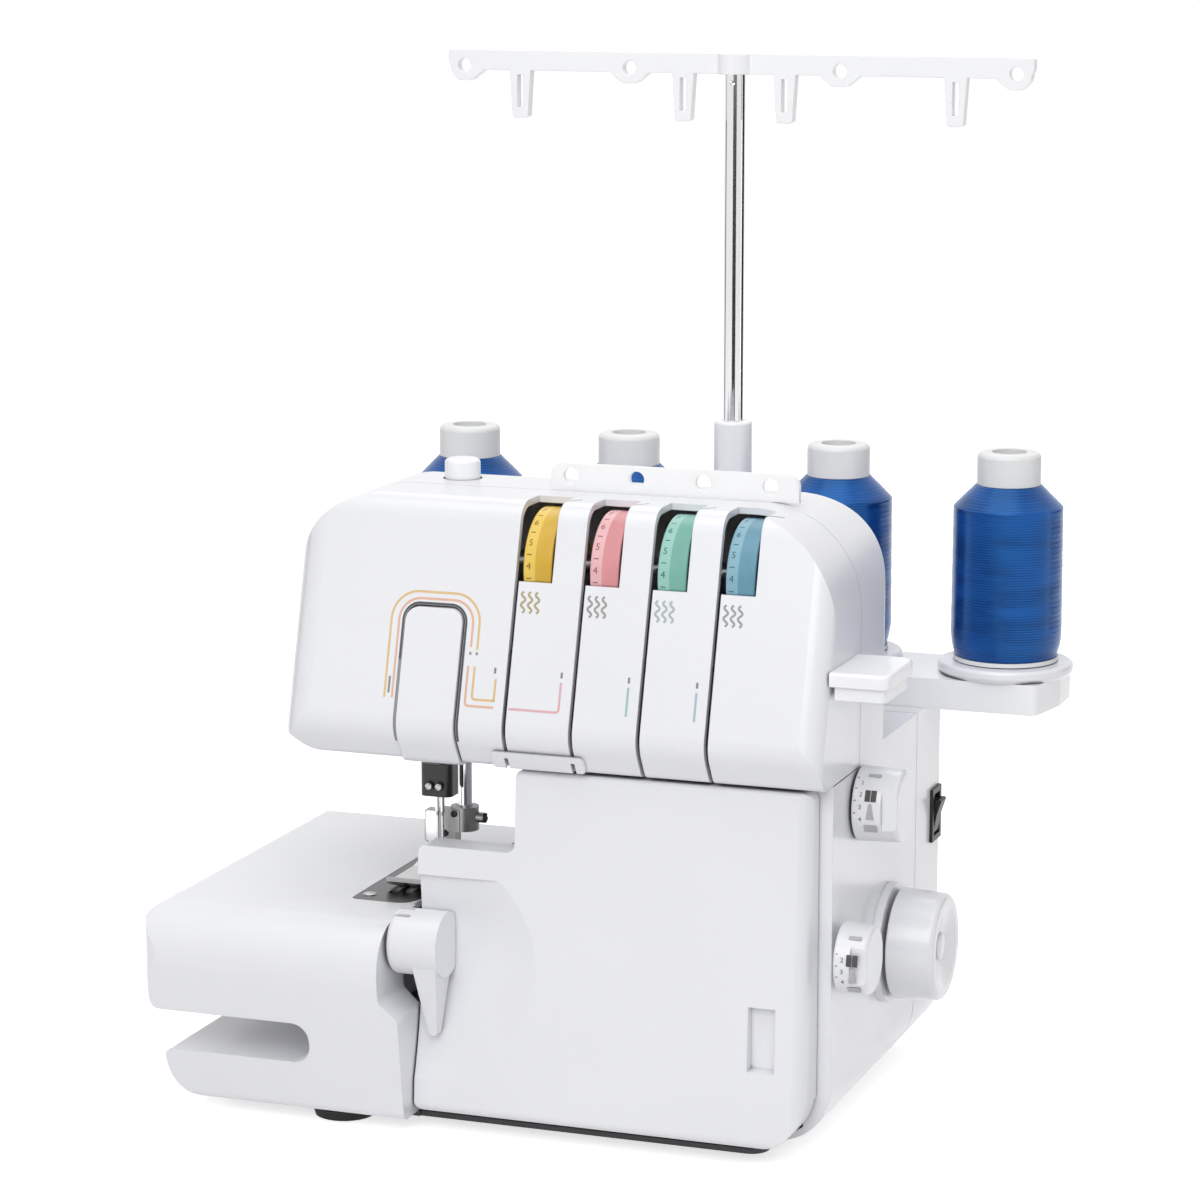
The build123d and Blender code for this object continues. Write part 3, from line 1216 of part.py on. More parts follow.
def knife_guide():
    """Upright post for the moving knife, with the arm and riser that hold the fixed blade."""
    low = BED_TOP - BLADE_ARM_DROP
    post = rod_z(KNIFE_GUIDE, BASE_TOP, BED_TOP - GUIDE_POST_DROP, KNIFE_GUIDE_X, KNIFE_GUIDE_Y)
    foot = block(KNIFE_GUIDE_X - 8, KNIFE_GUIDE_X + 8, KNIFE_GUIDE_Y - 8, KNIFE_GUIDE_Y + 8,
                 BASE_TOP, BASE_TOP + 5)
    left = KNIFE_X - 2 * KNIFE_THICK
    arm = block(left - 3, KNIFE_GUIDE_X + 3, KNIFE_GUIDE_Y - 4, KNIFE_Y + 5,
                low, low + BLADE_ARM_TALL)
    riser = block(left - 3, left, KNIFE_Y - 5, KNIFE_Y + 5, low, BED_TOP - 7)
    return post + foot + arm + riser


# Tension works

def tension_dial(left):
    x = left + WINDOW_WIDE - DIAL_WIDE - 0.8
    return turned_x([
        (x, DIAL_BORE + RUN_FIT, 0),
        (x, DIAL_RADIUS, 1),
        (x + DIAL_WIDE, DIAL_RADIUS, 1),
        (x + DIAL_WIDE, DIAL_BORE + RUN_FIT, 0),
    ], DIAL_Y, DIAL_Z)


def tension_bracket():
    """Bracket on the frame beam with an ear between the dials and one rod that carries them all."""
    left = DIAL_LEFT[0] - 9
    right = DIAL_LEFT[-1] + WINDOW_WIDE + 9
    rod = rod_x(DIAL_BORE, left, right, DIAL_Y, DIAL_Z)
    top = BEAM_TOP
    bracket = rod + block(left, right, BEAM_Y - 3, BEAM_Y, top - 14, top - 2)
    bracket = bracket + block(left, right, DIAL_Y - 4, BEAM_Y, top - 2, top + 1)
    ears = [left] + [x - 9 for x in DIAL_LEFT[1:]] + [right - 3]
    for x in ears:
        ear = outline([
            (DIAL_Y - 5, top - 1, 0),
            (DIAL_Y + 14, top - 1, 0),
            (DIAL_Y + 5, DIAL_Z + 5, 4),
            (DIAL_Y - 5, DIAL_Z + 5, 4),
        ])
        bracket = bracket + prism_x(ear, x, x + 3)
    return bracket


def tension_discs():
    solids = []
    for left in DIAL_LEFT:
        for x in (left - DISC_THICK, left + THREAD_SLOT - CLEAR):
            disc = rod_x(TENSION_DISC, x, x + DISC_THICK, DIAL_Y, DIAL_Z)
            solids.append(disc - rod_x(DIAL_BORE + RUN_FIT, 0, FAR, DIAL_Y, DIAL_Z))
    return solids


def thread_guide_plate():
    face = outline([
        (GUIDE_LEFT, HEAD_TOP, 0),
        (GUIDE_RIGHT, HEAD_TOP, 0),
        (GUIDE_RIGHT, HEAD_TOP + GUIDE_TALL, 5),
        (GUIDE_LEFT, HEAD_TOP + GUIDE_TALL, 5),
    ])
    plate = prism_y(face, SHELL_SPLIT + 2, SHELL_SPLIT + 5)
    for left in DIAL_LEFT:
        x = left + WINDOW_WIDE / 2
        plate = plate - rod_y(GUIDE_HOLE, -FAR, FAR, x, HEAD_TOP + GUIDE_TALL / 2 + 0.5)
    return plate


# Side controls

def side_dial(radius, start, end, y, z):
    dial = turned_x([
        (start, 0, 0),
        (start, radius, 1),
        (end, radius - 0.8, 2),
        (end, 0, 0),
    ], y, z)
    grip = block(end - 7, end + 1, y - radius, y - radius + 3, z - radius, z + radius)
    back_grip = block(end - 7, end + 1, y + radius - 3, y + radius, z - radius, z + radius)
    stem = rod_x(STEM, BODY_RIGHT - 12, start, y, z)
    nut = rod_x(STEM_NUT, BODY_RIGHT - 12, BODY_RIGHT - WALL - CLEAR, y, z)
    return dial - grip - back_grip + stem + nut


def stitch_length_dial():
    """Dial that stands clear of the front cover while that slides past."""
    return side_dial(LENGTH_RADIUS, COVER_RIGHT + COVER_SLIDE + LOOSE, LENGTH_END, LENGTH_Y, LENGTH_Z)


def differential_dial():
    return side_dial(DIFF_RADIUS, BODY_RIGHT + DIAL_GAP, DIFF_END, DIFF_Y, DIFF_Z)


def switch_box(grow, x0, x1):
    """Upright block on the switch, larger than its hole by an amount all round."""
    wide = SWITCH_WIDE / 2 + grow
    tall = SWITCH_TALL / 2 + grow
    return block(x0, x1, SWITCH_Y - wide, SWITCH_Y + wide, SWITCH_Z - tall, SWITCH_Z + tall)


def switch_bezel():
    outer = switch_box(1, BODY_RIGHT, BODY_RIGHT + 1.5)
    can = switch_box(-0.2, BODY_RIGHT - 16, BODY_RIGHT)
    well = switch_box(-SWITCH_WALL, BODY_RIGHT - 11, BODY_RIGHT + 2)
    pivot = rod_y(ROCKER_PIN + RUN_FIT, SWITCH_Y - SWITCH_WIDE, SWITCH_Y + SWITCH_WIDE, ROCKER_X, SWITCH_Z)
    return outer + can - well - pivot


def power_rocker():
    half = SWITCH_TALL / 2 - SWITCH_WALL - LOOSE
    wide = SWITCH_WIDE / 2 - SWITCH_WALL
    face = outline([
        (ROCKER_X - 3, SWITCH_Z - half + 3, 0),
        (ROCKER_X + 4, SWITCH_Z - half + 0.5, 0),
        (ROCKER_X + 5.5, SWITCH_Z, 0),
        (ROCKER_X + 8, SWITCH_Z + half - 1.5, 1),
        (ROCKER_X - 3, SWITCH_Z + half - 3, 0),
    ])
    pin = rod_y(ROCKER_PIN, SWITCH_Y - wide - 1, SWITCH_Y + wide + 1, ROCKER_X, SWITCH_Z)
    return prism_y(face, SWITCH_Y - wide + 0.5, SWITCH_Y + wide - 0.5) + pin


def power_inlet():
    flange = block(BODY_RIGHT, BODY_RIGHT + 1.5, INLET_Y - 13, INLET_Y + 13, INLET_Z - 10, INLET_Z + 10)
    can = block(BODY_RIGHT - 18, BODY_RIGHT, INLET_Y - 10.8, INLET_Y + 10.8, INLET_Z - 7.8, INLET_Z + 7.8)
    well = block(BODY_RIGHT - 14, BODY_RIGHT + 2, INLET_Y - 8, INLET_Y + 8, INLET_Z - 5, INLET_Z + 5)
    inlet = flange + can - well
    for y in (INLET_Y - 4, INLET_Y + 4):
        inlet = inlet + rod_x(1.2, BODY_RIGHT - 15, BODY_RIGHT - 10, y, INLET_Z)
    return inlet


def power_block():
    """Switch frame and mains inlet, two snap-in mouldings in the right wall of the rear cover."""
    return [switch_bezel(), power_inlet()]


# Spool stand and thread tree

def stand_face(inset):
    return inset_face(outline([
        (MAST_X - SPOOL_OUTER - DISC_RADIUS + 2, STAND_FRONT, 10),
        (RIGHT_END - STAND_SHY - 5, STAND_FRONT, 4),
        (RIGHT_END - STAND_SHY, STAND_Y, 4),
        (RIGHT_END - STAND_SHY, STAND_BACK, 10),
        (MAST_X - SPOOL_OUTER - DISC_RADIUS + 2, STAND_BACK, 10),
    ]), inset)


def spool_stand():
    stand = prism_z(stand_face(0), STEP_TOP, STAND_TOP)
    stand = stand - prism_z(stand_face(WALL), STEP_TOP - 1, STAND_TOP - WALL)
    for x in SPOOL_X:
        pin = turned_z([
            (0, STAND_TOP - 1, 0),
            (PIN_RADIUS, STAND_TOP - 1, 0),
            (PIN_RADIUS - 1, STAND_TOP + PIN_TALL, 1.5),
            (0, STAND_TOP + PIN_TALL, 0),
        ], x, STAND_Y)
        stand = stand + pin + rod_z(PIN_RADIUS + 3, STEP_TOP, STAND_TOP - 1, x, STAND_Y)
    socket = turned_z([
        (0, STEP_TOP, 0),
        (SOCKET_RADIUS, STEP_TOP, 0),
        (SOCKET_RADIUS, STAND_TOP - 1, 0),
        (SOCKET_RADIUS + 4, STAND_TOP - 1, 0),
        (SOCKET_RADIUS + 4, STAND_TOP + 5, 1.5),
        (SOCKET_RADIUS, STAND_TOP + 9, 0),
        (SOCKET_RADIUS, SOCKET_TOP, 1.5),
        (0, SOCKET_TOP, 0),
    ], MAST_X, STAND_Y)
    return stand + socket - rod_z(MAST_RADIUS + RUN_FIT, STEP_TOP + 2, FAR, MAST_X, STAND_Y)


def spool_discs():
    return [
        turned_z([
            (PIN_RADIUS + CLEAR, STAND_TOP, 0),
            (DISC_RADIUS - 2, STAND_TOP, 0),
            (DISC_RADIUS, STAND_TOP + 2, 1),
            (DISC_RADIUS, DISC_TOP, 2),
            (PIN_RADIUS + CLEAR, DISC_TOP, 0),
        ], x, STAND_Y)
        for x in SPOOL_X
    ]


def spool_core(x):
    return turned_z([
        (SPOOL_BORE, CORE_LOW, 0),
        (WINDING_RADIUS - 1, CORE_LOW, 0),
        (WINDING_RADIUS - 1, WINDING_LOW - 0.1, 0),
        (CORE_RADIUS, WINDING_LOW - 0.1, 0),
        (CORE_RADIUS, WINDING_TOP + 0.1, 0),
        (CAP_RADIUS, WINDING_TOP + 0.1, 0),
        (CAP_RADIUS, CORE_TOP, 2.5),
        (SPOOL_BORE, CORE_TOP, 0),
    ], x, STAND_Y)


def thread_winding(x):
    return turned_z([
        (CORE_RADIUS + RUN_FIT, WINDING_LOW, 0),
        (WINDING_RADIUS - 2, WINDING_LOW, 0),
        (WINDING_RADIUS + 0.5, WINDING_LOW + 12, 30),
        (WINDING_RADIUS, WINDING_TOP - SHOULDER, 2),
        (CAP_RADIUS + 0.5, WINDING_TOP, 0),
        (CORE_RADIUS + RUN_FIT, WINDING_TOP, 0),
    ], x, STAND_Y)


def mast():
    tube = rod_z(MAST_RADIUS, SOCKET_TOP - MAST_GRIP, MAST_TOP, MAST_X, STAND_Y)
    tube = tube - rod_z(MAST_RADIUS - 0.8, 0, MAST_TOP - 12, MAST_X, STAND_Y)
    return tube - rod_y(1.2, -FAR, STAND_Y, MAST_X, TREE_LOW - 4)


def thread_tree():
    """Thread guide bar with four eyelets and four hanging slit hooks, bored for the mast."""
    front = STAND_Y - TREE_THICK / 2
    back = STAND_Y + TREE_THICK / 2
    eye_z = TREE_TOP - EYE_RADIUS
    bar = outline([
        (MAST_X - TREE_HALF, TREE_LOW, 5),
        (MAST_X + TREE_HALF, TREE_LOW, 5),
        (MAST_X + TREE_HALF, TREE_TOP, 1),
        (MAST_X - TREE_HALF, TREE_TOP, 1),
    ])
    tree = prism_y(bar, front, back) + rod_z(SOCKET_RADIUS - 1, TREE_LOW, TREE_TOP, MAST_X, STAND_Y)
    for place in (-EYE_OUTER, -EYE_INNER, EYE_INNER, EYE_OUTER):
        x = MAST_X + place
        reach = min(EYE_FLANK, TREE_HALF - abs(place) - 1)
        left = EYE_FLANK if place > 0 else reach
        right = EYE_FLANK if place < 0 else reach
        flank = outline([
            (x - left, TREE_LOW + 1, 0),
            (x - EYE_RADIUS / 2, eye_z - EYE_RADIUS, 3),
            (x + EYE_RADIUS / 2, eye_z - EYE_RADIUS, 3),
            (x + right, TREE_LOW + 1, 0),
        ])
        tree = tree + rod_y(EYE_RADIUS, front, back, x, eye_z) + prism_y(flank, front, back)
    for place in (-EYE_OUTER, -EYE_INNER, EYE_INNER, EYE_OUTER):
        tree = tree - rod_y(EYE_HOLE, front - 1, back + 1, MAST_X + place, eye_z)
    for place in (-HOOK_OUTER, -HOOK_INNER, HOOK_INNER, HOOK_OUTER):
        x = MAST_X + place
        tip = TREE_TOP - HOOK_DROP
        hook = outline([
            (x - HOOK_WIDE / 2, TREE_LOW + 1, 0),
            (x + HOOK_WIDE / 2, TREE_LOW + 1, 0),
            (x + HOOK_WIDE / 2 - 1.5, tip, 1.5),
            (x - HOOK_WIDE / 2 + 1.5, tip, 1.5),
        ])
        slit = block(x - HOOK_SLIT / 2, x + HOOK_SLIT / 2, -FAR, FAR, tip + 5, TREE_LOW - 2)
        tree = tree + prism_y(hook, front, back) - slit
    return tree - rod_z(MAST_RADIUS + RUN_FIT, 0, MAST_TOP + CLEAR, MAST_X, STAND_Y)


# Assembly

def build_nodes():
    nodes = {
        "base_plate": base_plate(),
        "rubber_feet": rubber_feet(),
        "bed_housing": bed_housing(),
        "main_housing": main_housing(),
        "rear_cover": rear_cover(),
        "front_panel": front_panel(),
        "take_up_cover": take_up_cover(),
        "thread_lip": thread_lip(),
        "side_ledge": side_ledge(),
        "front_cover": front_cover(),
        "cover_hinge_rod": cover_hinge_rod(),
        "cover_sleeves": cover_sleeves(),
        "frame_casting": frame_casting(),
        "bronze_bushes": bronze_bushes(),
        "main_shaft": main_shaft(),
        "handwheel": handwheel(),
        "drive_pulley": drive_pulley(),
        "motor": motor(),
        "motor_pulley": motor_pulley(),
        "drive_belt": drive_belt(),
        "needle_bar": needle_bar(),
        "needle_clamp": needle_clamp(),
        "needles": needles(),
        "presser_bar": presser_bar(),
        "presser_ankle": presser_ankle(),
        "presser_foot": presser_foot(),
        "pressure_knob": pressure_knob(),
        "lifter_lever": lifter_lever(),
        "needle_plate": needle_plate(),
        "main_feed_dog": main_feed_dog(),
        "differential_feed_dog": differential_feed_dog(),
        "upper_looper": upper_looper(),
        "lower_looper": lower_looper(),
        "lower_knife": lower_knife(),
        "upper_knife": upper_knife(),
        "knife_carriage": knife_carriage(),
        "knife_guide": knife_guide(),
        "tension_bracket": tension_bracket(),
        "tension_discs": tension_discs(),
        "thread_guide_plate": thread_guide_plate(),
        "stitch_length_dial": stitch_length_dial(),
        "differential_dial": differential_dial(),
        "power_rocker": power_rocker(),
        "power_block": power_block(),
        "spool_stand": spool_stand(),
        "spool_discs": spool_discs(),
        "mast": mast(),
        "thread_tree": thread_tree(),
    }
    for i, left in enumerate(DIAL_LEFT):
        nodes["tension_dial_%d" % (i + 1)] = tension_dial(left)
    for i, x in enumerate(SPOOL_X):
        nodes["spool_core_%d" % (i + 1)] = spool_core(x)
        nodes["thread_winding_%d" % (i + 1)] = thread_winding(x)
    return nodes


def main():
    os.makedirs("parts", exist_ok=True)
    for name, shape in build_nodes().items():
        solids = shape if isinstance(shape, list) else [shape]
        placed = [Pos(-CENTRE_X, -CENTRE_Y, 0) * solid for solid in solids]
        whole = placed[0] if len(placed) == 1 else Compound(children=placed)
        export_step(whole, "parts/%s.step" % name)


if __name__ == "__main__":
    main()
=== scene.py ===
import json
import math
import bpy
from mathutils import Matrix, Vector
from mathutils.bvhtree import BVHTree


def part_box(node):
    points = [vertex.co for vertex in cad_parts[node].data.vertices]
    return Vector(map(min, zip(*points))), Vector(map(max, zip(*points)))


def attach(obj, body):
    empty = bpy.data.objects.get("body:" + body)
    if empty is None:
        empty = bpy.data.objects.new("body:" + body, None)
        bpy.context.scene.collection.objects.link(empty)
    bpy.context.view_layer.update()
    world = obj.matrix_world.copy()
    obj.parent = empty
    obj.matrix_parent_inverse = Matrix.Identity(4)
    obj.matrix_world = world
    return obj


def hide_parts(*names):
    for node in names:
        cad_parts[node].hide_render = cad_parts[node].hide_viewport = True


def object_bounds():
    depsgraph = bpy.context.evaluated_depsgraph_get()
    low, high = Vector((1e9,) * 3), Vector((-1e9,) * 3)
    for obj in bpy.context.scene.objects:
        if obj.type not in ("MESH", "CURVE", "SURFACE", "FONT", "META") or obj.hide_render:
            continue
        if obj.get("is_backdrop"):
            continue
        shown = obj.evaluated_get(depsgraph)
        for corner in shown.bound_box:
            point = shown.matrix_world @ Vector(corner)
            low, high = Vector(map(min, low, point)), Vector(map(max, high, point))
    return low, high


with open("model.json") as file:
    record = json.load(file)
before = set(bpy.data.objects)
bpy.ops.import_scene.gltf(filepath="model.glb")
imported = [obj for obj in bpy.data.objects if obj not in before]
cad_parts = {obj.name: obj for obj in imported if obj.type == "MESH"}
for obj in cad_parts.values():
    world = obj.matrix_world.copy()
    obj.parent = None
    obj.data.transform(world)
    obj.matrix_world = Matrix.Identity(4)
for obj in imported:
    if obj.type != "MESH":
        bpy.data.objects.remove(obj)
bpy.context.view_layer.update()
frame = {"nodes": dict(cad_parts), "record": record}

# Serger overlock machine, dressed in its finishes. Lengths are metres unless a name says otherwise.
MM = 0.001
RECORD = frame["record"]

# Camera fitted to the photograph
CAMERA_PLACE = (0.565, -1.584, 0.540)
CAMERA_AZIMUTH = 20.0
CAMERA_ELEVATION = 10.5
CAMERA_LENS = 114.0
CAMERA_SENSOR = 36.0

# Studio
FLOOR_HALF = 30.0
FLOOR_GLOW = 0.70
FLOOR_TONE = 0.78
SKY_LIGHT = 0.38
CARD_FOOT = 0.07

# Printed marks stand out of the surface that carries them by the lift and reach into it by the root
INK_LIFT = 0.06 * MM
INK_ROOT = 0.12 * MM
LINE_WIDE = 1.0 * MM
LINE_STEP = 1.0 * MM
TICK_TALL = 0.45 * MM

# Thread on the spools
TURN_PITCH = 2.3 * MM
TURN_SWELL = 0.025 * MM
CROSS_PITCH = 9.0 * MM
CROSS_SWELL = 0.04 * MM
ROWS_A_TURN = 6
WINDING_SIDES = 96
WINDING_SHOULDER = 10.0 * MM
WINDING_HEEL = 12.0 * MM
WINDING_DRAW = 2.2 * MM
WINDING_TAPER = 0.5 * MM
WINDING_FADE = 2.0 * MM
WINDING_CAP = 15.0 * MM
WINDING_BORE = 13.2 * MM


# Small helpers

def middle(node):
    low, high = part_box(node)
    return (low + high) / 2


def mesh_piece(name, verts, faces, body, material, smooth=True):
    """A new mesh object that rides on a body and takes its finish from a slot."""
    mesh = bpy.data.meshes.new(name)
    mesh.from_pydata([tuple(v) for v in verts], [], faces)
    mesh.validate()
    mesh.update()
    if smooth:
        mesh.shade_smooth()
    piece = bpy.data.objects.new(name, mesh)
    bpy.context.scene.collection.objects.link(piece)
    piece.data.materials.append(material)
    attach(piece, body)
    return piece


def surface_tree(node):
    mesh = frame["nodes"][node].data
    points = [v.co.copy() for v in mesh.vertices]
    return BVHTree.FromPolygons(points, [tuple(p.vertices) for p in mesh.polygons])


def loft(rings, caps=True):
    """Vertices and faces of a tube through rings of equal length."""
    count = len(rings[0])
    verts = [point for ring in rings for point in ring]
    faces = []
    for row in range(len(rings) - 1):
        for i in range(count):
            j = (i + 1) % count
            faces.append((row * count + i, row * count + j, (row + 1) * count + j, (row + 1) * count + i))
    if caps:
        faces.append(tuple(reversed(range(count))))
        faces.append(tuple((len(rings) - 1) * count + i for i in range(count)))
    return verts, faces


def joined(parts):
    """Several (verts, faces) pairs as one."""
    verts = []
    faces = []
    for part_verts, part_faces in parts:
        start = len(verts)
        verts.extend(part_verts)
        faces.extend(tuple(start + i for i in face) for face in part_faces)
    return verts, faces


# Materials

def start_material(name):
    material = bpy.data.materials.new(name)
    material.use_nodes = True
    tree = material.node_tree
    return material, tree, tree.nodes["Principled BSDF"]


def add_node(tree, kind, **values):
    node = tree.nodes.new(kind)
    for key, value in values.items():
        setattr(node, key, value)
    return node


def noise(tree, scale, detail=3.0, stretch=(1, 1, 1)):
    """Noise in object space, in features of about 1/scale metres."""
    place = add_node(tree, "ShaderNodeTexCoord")
    mapping = add_node(tree, "ShaderNodeMapping")
    mapping.inputs["Scale"].default_value = stretch
    texture = add_node(tree, "ShaderNodeTexNoise")
    texture.inputs["Scale"].default_value = scale
    texture.inputs["Detail"].default_value = detail
    tree.links.new(place.outputs["Object"], mapping.inputs["Vector"])
    tree.links.new(mapping.outputs["Vector"], texture.inputs["Vector"])
    return texture.outputs["Fac"]


def two_tone(tree, factor, dark, light):
    ramp = add_node(tree, "ShaderNodeValToRGB")
    ramp.color_ramp.elements[0].position = 0.3
    ramp.color_ramp.elements[1].position = 0.7
    ramp.color_ramp.elements[0].color = (*dark, 1)
    ramp.color_ramp.elements[1].color = (*light, 1)
    tree.links.new(factor, ramp.inputs["Fac"])
    return ramp.outputs["Color"]


def span(tree, factor, low, high):
    node = add_node(tree, "ShaderNodeMapRange")
    node.inputs["To Min"].default_value = low
    node.inputs["To Max"].default_value = high
    tree.links.new(factor, node.inputs["Value"])
    return node.outputs["Result"]


def bump(tree, height, strength, distance, soft_edge=0.0):
    node = add_node(tree, "ShaderNodeBump")
    node.inputs["Strength"].default_value = strength
    node.inputs["Distance"].default_value = distance
    tree.links.new(height, node.inputs["Height"])
    if soft_edge:
        rounded = add_node(tree, "ShaderNodeBevel", samples=4)
        rounded.inputs["Radius"].default_value = soft_edge
        tree.links.new(rounded.outputs["Normal"], node.inputs["Normal"])
    return node.outputs["Normal"]


def crevice(tree, colour, depth, shade):
    """Painted shade: darkens the colour in narrow gaps and inner corners by ambient occlusion, where shadow
    falls.
    """
    hollow = add_node(tree, "ShaderNodeAmbientOcclusion", samples=6)
    hollow.inputs["Distance"].default_value = depth
    ramp = add_node(tree, "ShaderNodeValToRGB")
    ramp.color_ramp.elements[0].position = 0.12
    ramp.color_ramp.elements[1].position = 0.55
    ramp.color_ramp.elements[0].color = (*shade, 1)
    ramp.color_ramp.elements[1].color = (1, 1, 1, 1)
    mix = add_node(tree, "ShaderNodeMix", data_type="RGBA", blend_type="MULTIPLY")
    mix.inputs["Factor"].default_value = 1.0
    tree.links.new(hollow.outputs["AO"], ramp.inputs["Fac"])
    tree.links.new(colour, mix.inputs[6])
    tree.links.new(ramp.outputs["Color"], mix.inputs[7])
    return mix.outputs[2]


def moulded(name, dark, light, rough, grain=700.0, coat=0.0, soft_edge=0.0, gap_shade=0.0, relief=0.05):
    """Moulded plastic: faint mottling, a fine spark-eroded grain and a soft gloss, with painted shade in
    narrow gaps and inner corners when a reach for it is given.
    """
    material, tree, shader = start_material(name)
    colour = two_tone(tree, noise(tree, 9.0), dark, light)
    # Painted shade in narrow gaps and inner corners
    if gap_shade:
        colour = crevice(tree, colour, gap_shade, (0.22, 0.22, 0.24))
    tree.links.new(colour, shader.inputs["Base Color"])
    tree.links.new(span(tree, noise(tree, 60.0), rough - 0.05, rough + 0.05), shader.inputs["Roughness"])
    normal = bump(tree, noise(tree, grain, 2.0), relief, 0.1 * MM, soft_edge)
    tree.links.new(normal, shader.inputs["Normal"])
    shader.inputs["Coat Weight"].default_value = coat
    shader.inputs["Coat Roughness"].default_value = 0.12
    return material


def metal(name, dark, light, rough, stretch=(1, 1, 1), grain=500.0, relief=0.08):
    """Bare metal with the direction of its grinding or drawing."""
    material, tree, shader = start_material(name)
    grind = noise(tree, grain, 4.0, stretch)
    tree.links.new(two_tone(tree, grind, dark, light), shader.inputs["Base Color"])
    tree.links.new(span(tree, grind, rough - 0.06, rough + 0.08), shader.inputs["Roughness"])
    tree.links.new(bump(tree, grind, relief, 0.05 * MM), shader.inputs["Normal"])
    shader.inputs["Metallic"].default_value = 1.0
    return material


def dial_plastic(name, node, dark, light, band):
    """Coloured dial with a paler number band on its left half and painted shade in its grooves and gaps."""
    material, tree, shader = start_material(name)
    low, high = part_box(node)
    place = add_node(tree, "ShaderNodeTexCoord")
    split = add_node(tree, "ShaderNodeSeparateXYZ")
    edge = add_node(tree, "ShaderNodeMapRange", interpolation_type="SMOOTHSTEP")
    edge.inputs["From Min"].default_value = low.x + 0.40 * (high.x - low.x)
    edge.inputs["From Max"].default_value = low.x + 0.44 * (high.x - low.x)
    tree.links.new(place.outputs["Object"], split.inputs["Vector"])
    tree.links.new(split.outputs["X"], edge.inputs["Value"])
    ring = add_node(tree, "ShaderNodeMix", data_type="RGBA")
    ring.inputs[6].default_value = (*band, 1)
    tree.links.new(edge.outputs["Result"], ring.inputs["Factor"])
    tree.links.new(two_tone(tree, noise(tree, 40.0), dark, light), ring.inputs[7])
    # Painted shade in the knurl grooves and against neighbouring parts
    colour = crevice(tree, ring.outputs[2], 2.5 * MM, (0.25, 0.22, 0.22))
    tree.links.new(colour, shader.inputs["Base Color"])
    tree.links.new(span(tree, noise(tree, 120.0), 0.34, 0.46), shader.inputs["Roughness"])
    tree.links.new(bump(tree, noise(tree, 900.0), 0.06, 0.1 * MM), shader.inputs["Normal"])
    return material


def yarn(name):
    """Polyester thread laid in two crossing directions, read from the winding's own coordinates; its colour
    mottle is partly random tone and partly painted sheen.
    """
    material, tree, shader = start_material(name)
    place = add_node(tree, "ShaderNodeUVMap")
    crossings = []
    for lean in (1.0, -1.0):
        mapping = add_node(tree, "ShaderNodeMapping")
        mapping.inputs["Scale"].default_value = (lean, 21.0, 0.0)
        wave = add_node(tree, "ShaderNodeTexWave", wave_type="BANDS", bands_direction="DIAGONAL")
        wave.inputs["Scale"].default_value = 2.0
        wave.inputs["Distortion"].default_value = 0.6
        wave.inputs["Detail"].default_value = 1.0
        tree.links.new(place.outputs["UV"], mapping.inputs["Vector"])
        tree.links.new(mapping.outputs["Vector"], wave.inputs["Vector"])
        crossings.append(wave.outputs["Fac"])
    weave = add_node(tree, "ShaderNodeMath", operation="MULTIPLY")
    tree.links.new(crossings[0], weave.inputs[0])
    tree.links.new(crossings[1], weave.inputs[1])
    mottle_and_painted_sheen = add_node(tree, "ShaderNodeMath", operation="MULTIPLY_ADD")
    tree.links.new(noise(tree, 90.0, 3.0, (0.25, 0.25, 1.6)), mottle_and_painted_sheen.inputs[0])
    mottle_and_painted_sheen.inputs[1].default_value = 1.0
    tree.links.new(span(tree, weave.outputs[0], -0.12, 0.38), mottle_and_painted_sheen.inputs[2])
    # Dark to light blue: random tone of the windings plus painted sheen in the lighter patches
    colour = two_tone(tree, mottle_and_painted_sheen.outputs[0], (0.003, 0.030, 0.150), (0.009, 0.080, 0.340))
    tree.links.new(colour, shader.inputs["Base Color"])
    tree.links.new(span(tree, mottle_and_painted_sheen.outputs[0], 0.26, 0.38), shader.inputs["Roughness"])
    tree.links.new(bump(tree, weave.outputs[0], 0.14, 0.25 * MM), shader.inputs["Normal"])
    along = add_node(tree, "ShaderNodeTangent", direction_type="UV_MAP", uv_map="winding")
    tree.links.new(along.outputs["Tangent"], shader.inputs["Tangent"])
    shader.inputs["Anisotropic"].default_value = 0.7
    shader.inputs["Anisotropic Rotation"].default_value = 0.25
    shader.inputs["Specular IOR Level"].default_value = 1.0
    shader.inputs["Specular Tint"].default_value = (0.16, 0.50, 1.0, 1.0)
    shader.inputs["Sheen Weight"].default_value = 0.08
    shader.inputs["Sheen Roughness"].default_value = 0.35
    shader.inputs["Sheen Tint"].default_value = (0.10, 0.40, 1.0, 1.0)
    return material


def milky(name):
    """Clear-white moulding that lets a little light through."""
    material, tree, shader = start_material(name)
    colour = two_tone(tree, noise(tree, 30.0), (0.93, 0.935, 0.94), (0.96, 0.965, 0.97))
    tree.links.new(colour, shader.inputs["Base Color"])
    tree.links.new(span(tree, noise(tree, 200.0), 0.25, 0.4), shader.inputs["Roughness"])
    tree.links.new(bump(tree, noise(tree, 500.0), 0.05, 0.1 * MM), shader.inputs["Normal"])
    shader.inputs["Subsurface Weight"].default_value = 0.4
    shader.inputs["Subsurface Radius"].default_value = (1.0, 1.0, 1.0)
    shader.inputs["Subsurface Scale"].default_value = 3.0 * MM
    return material


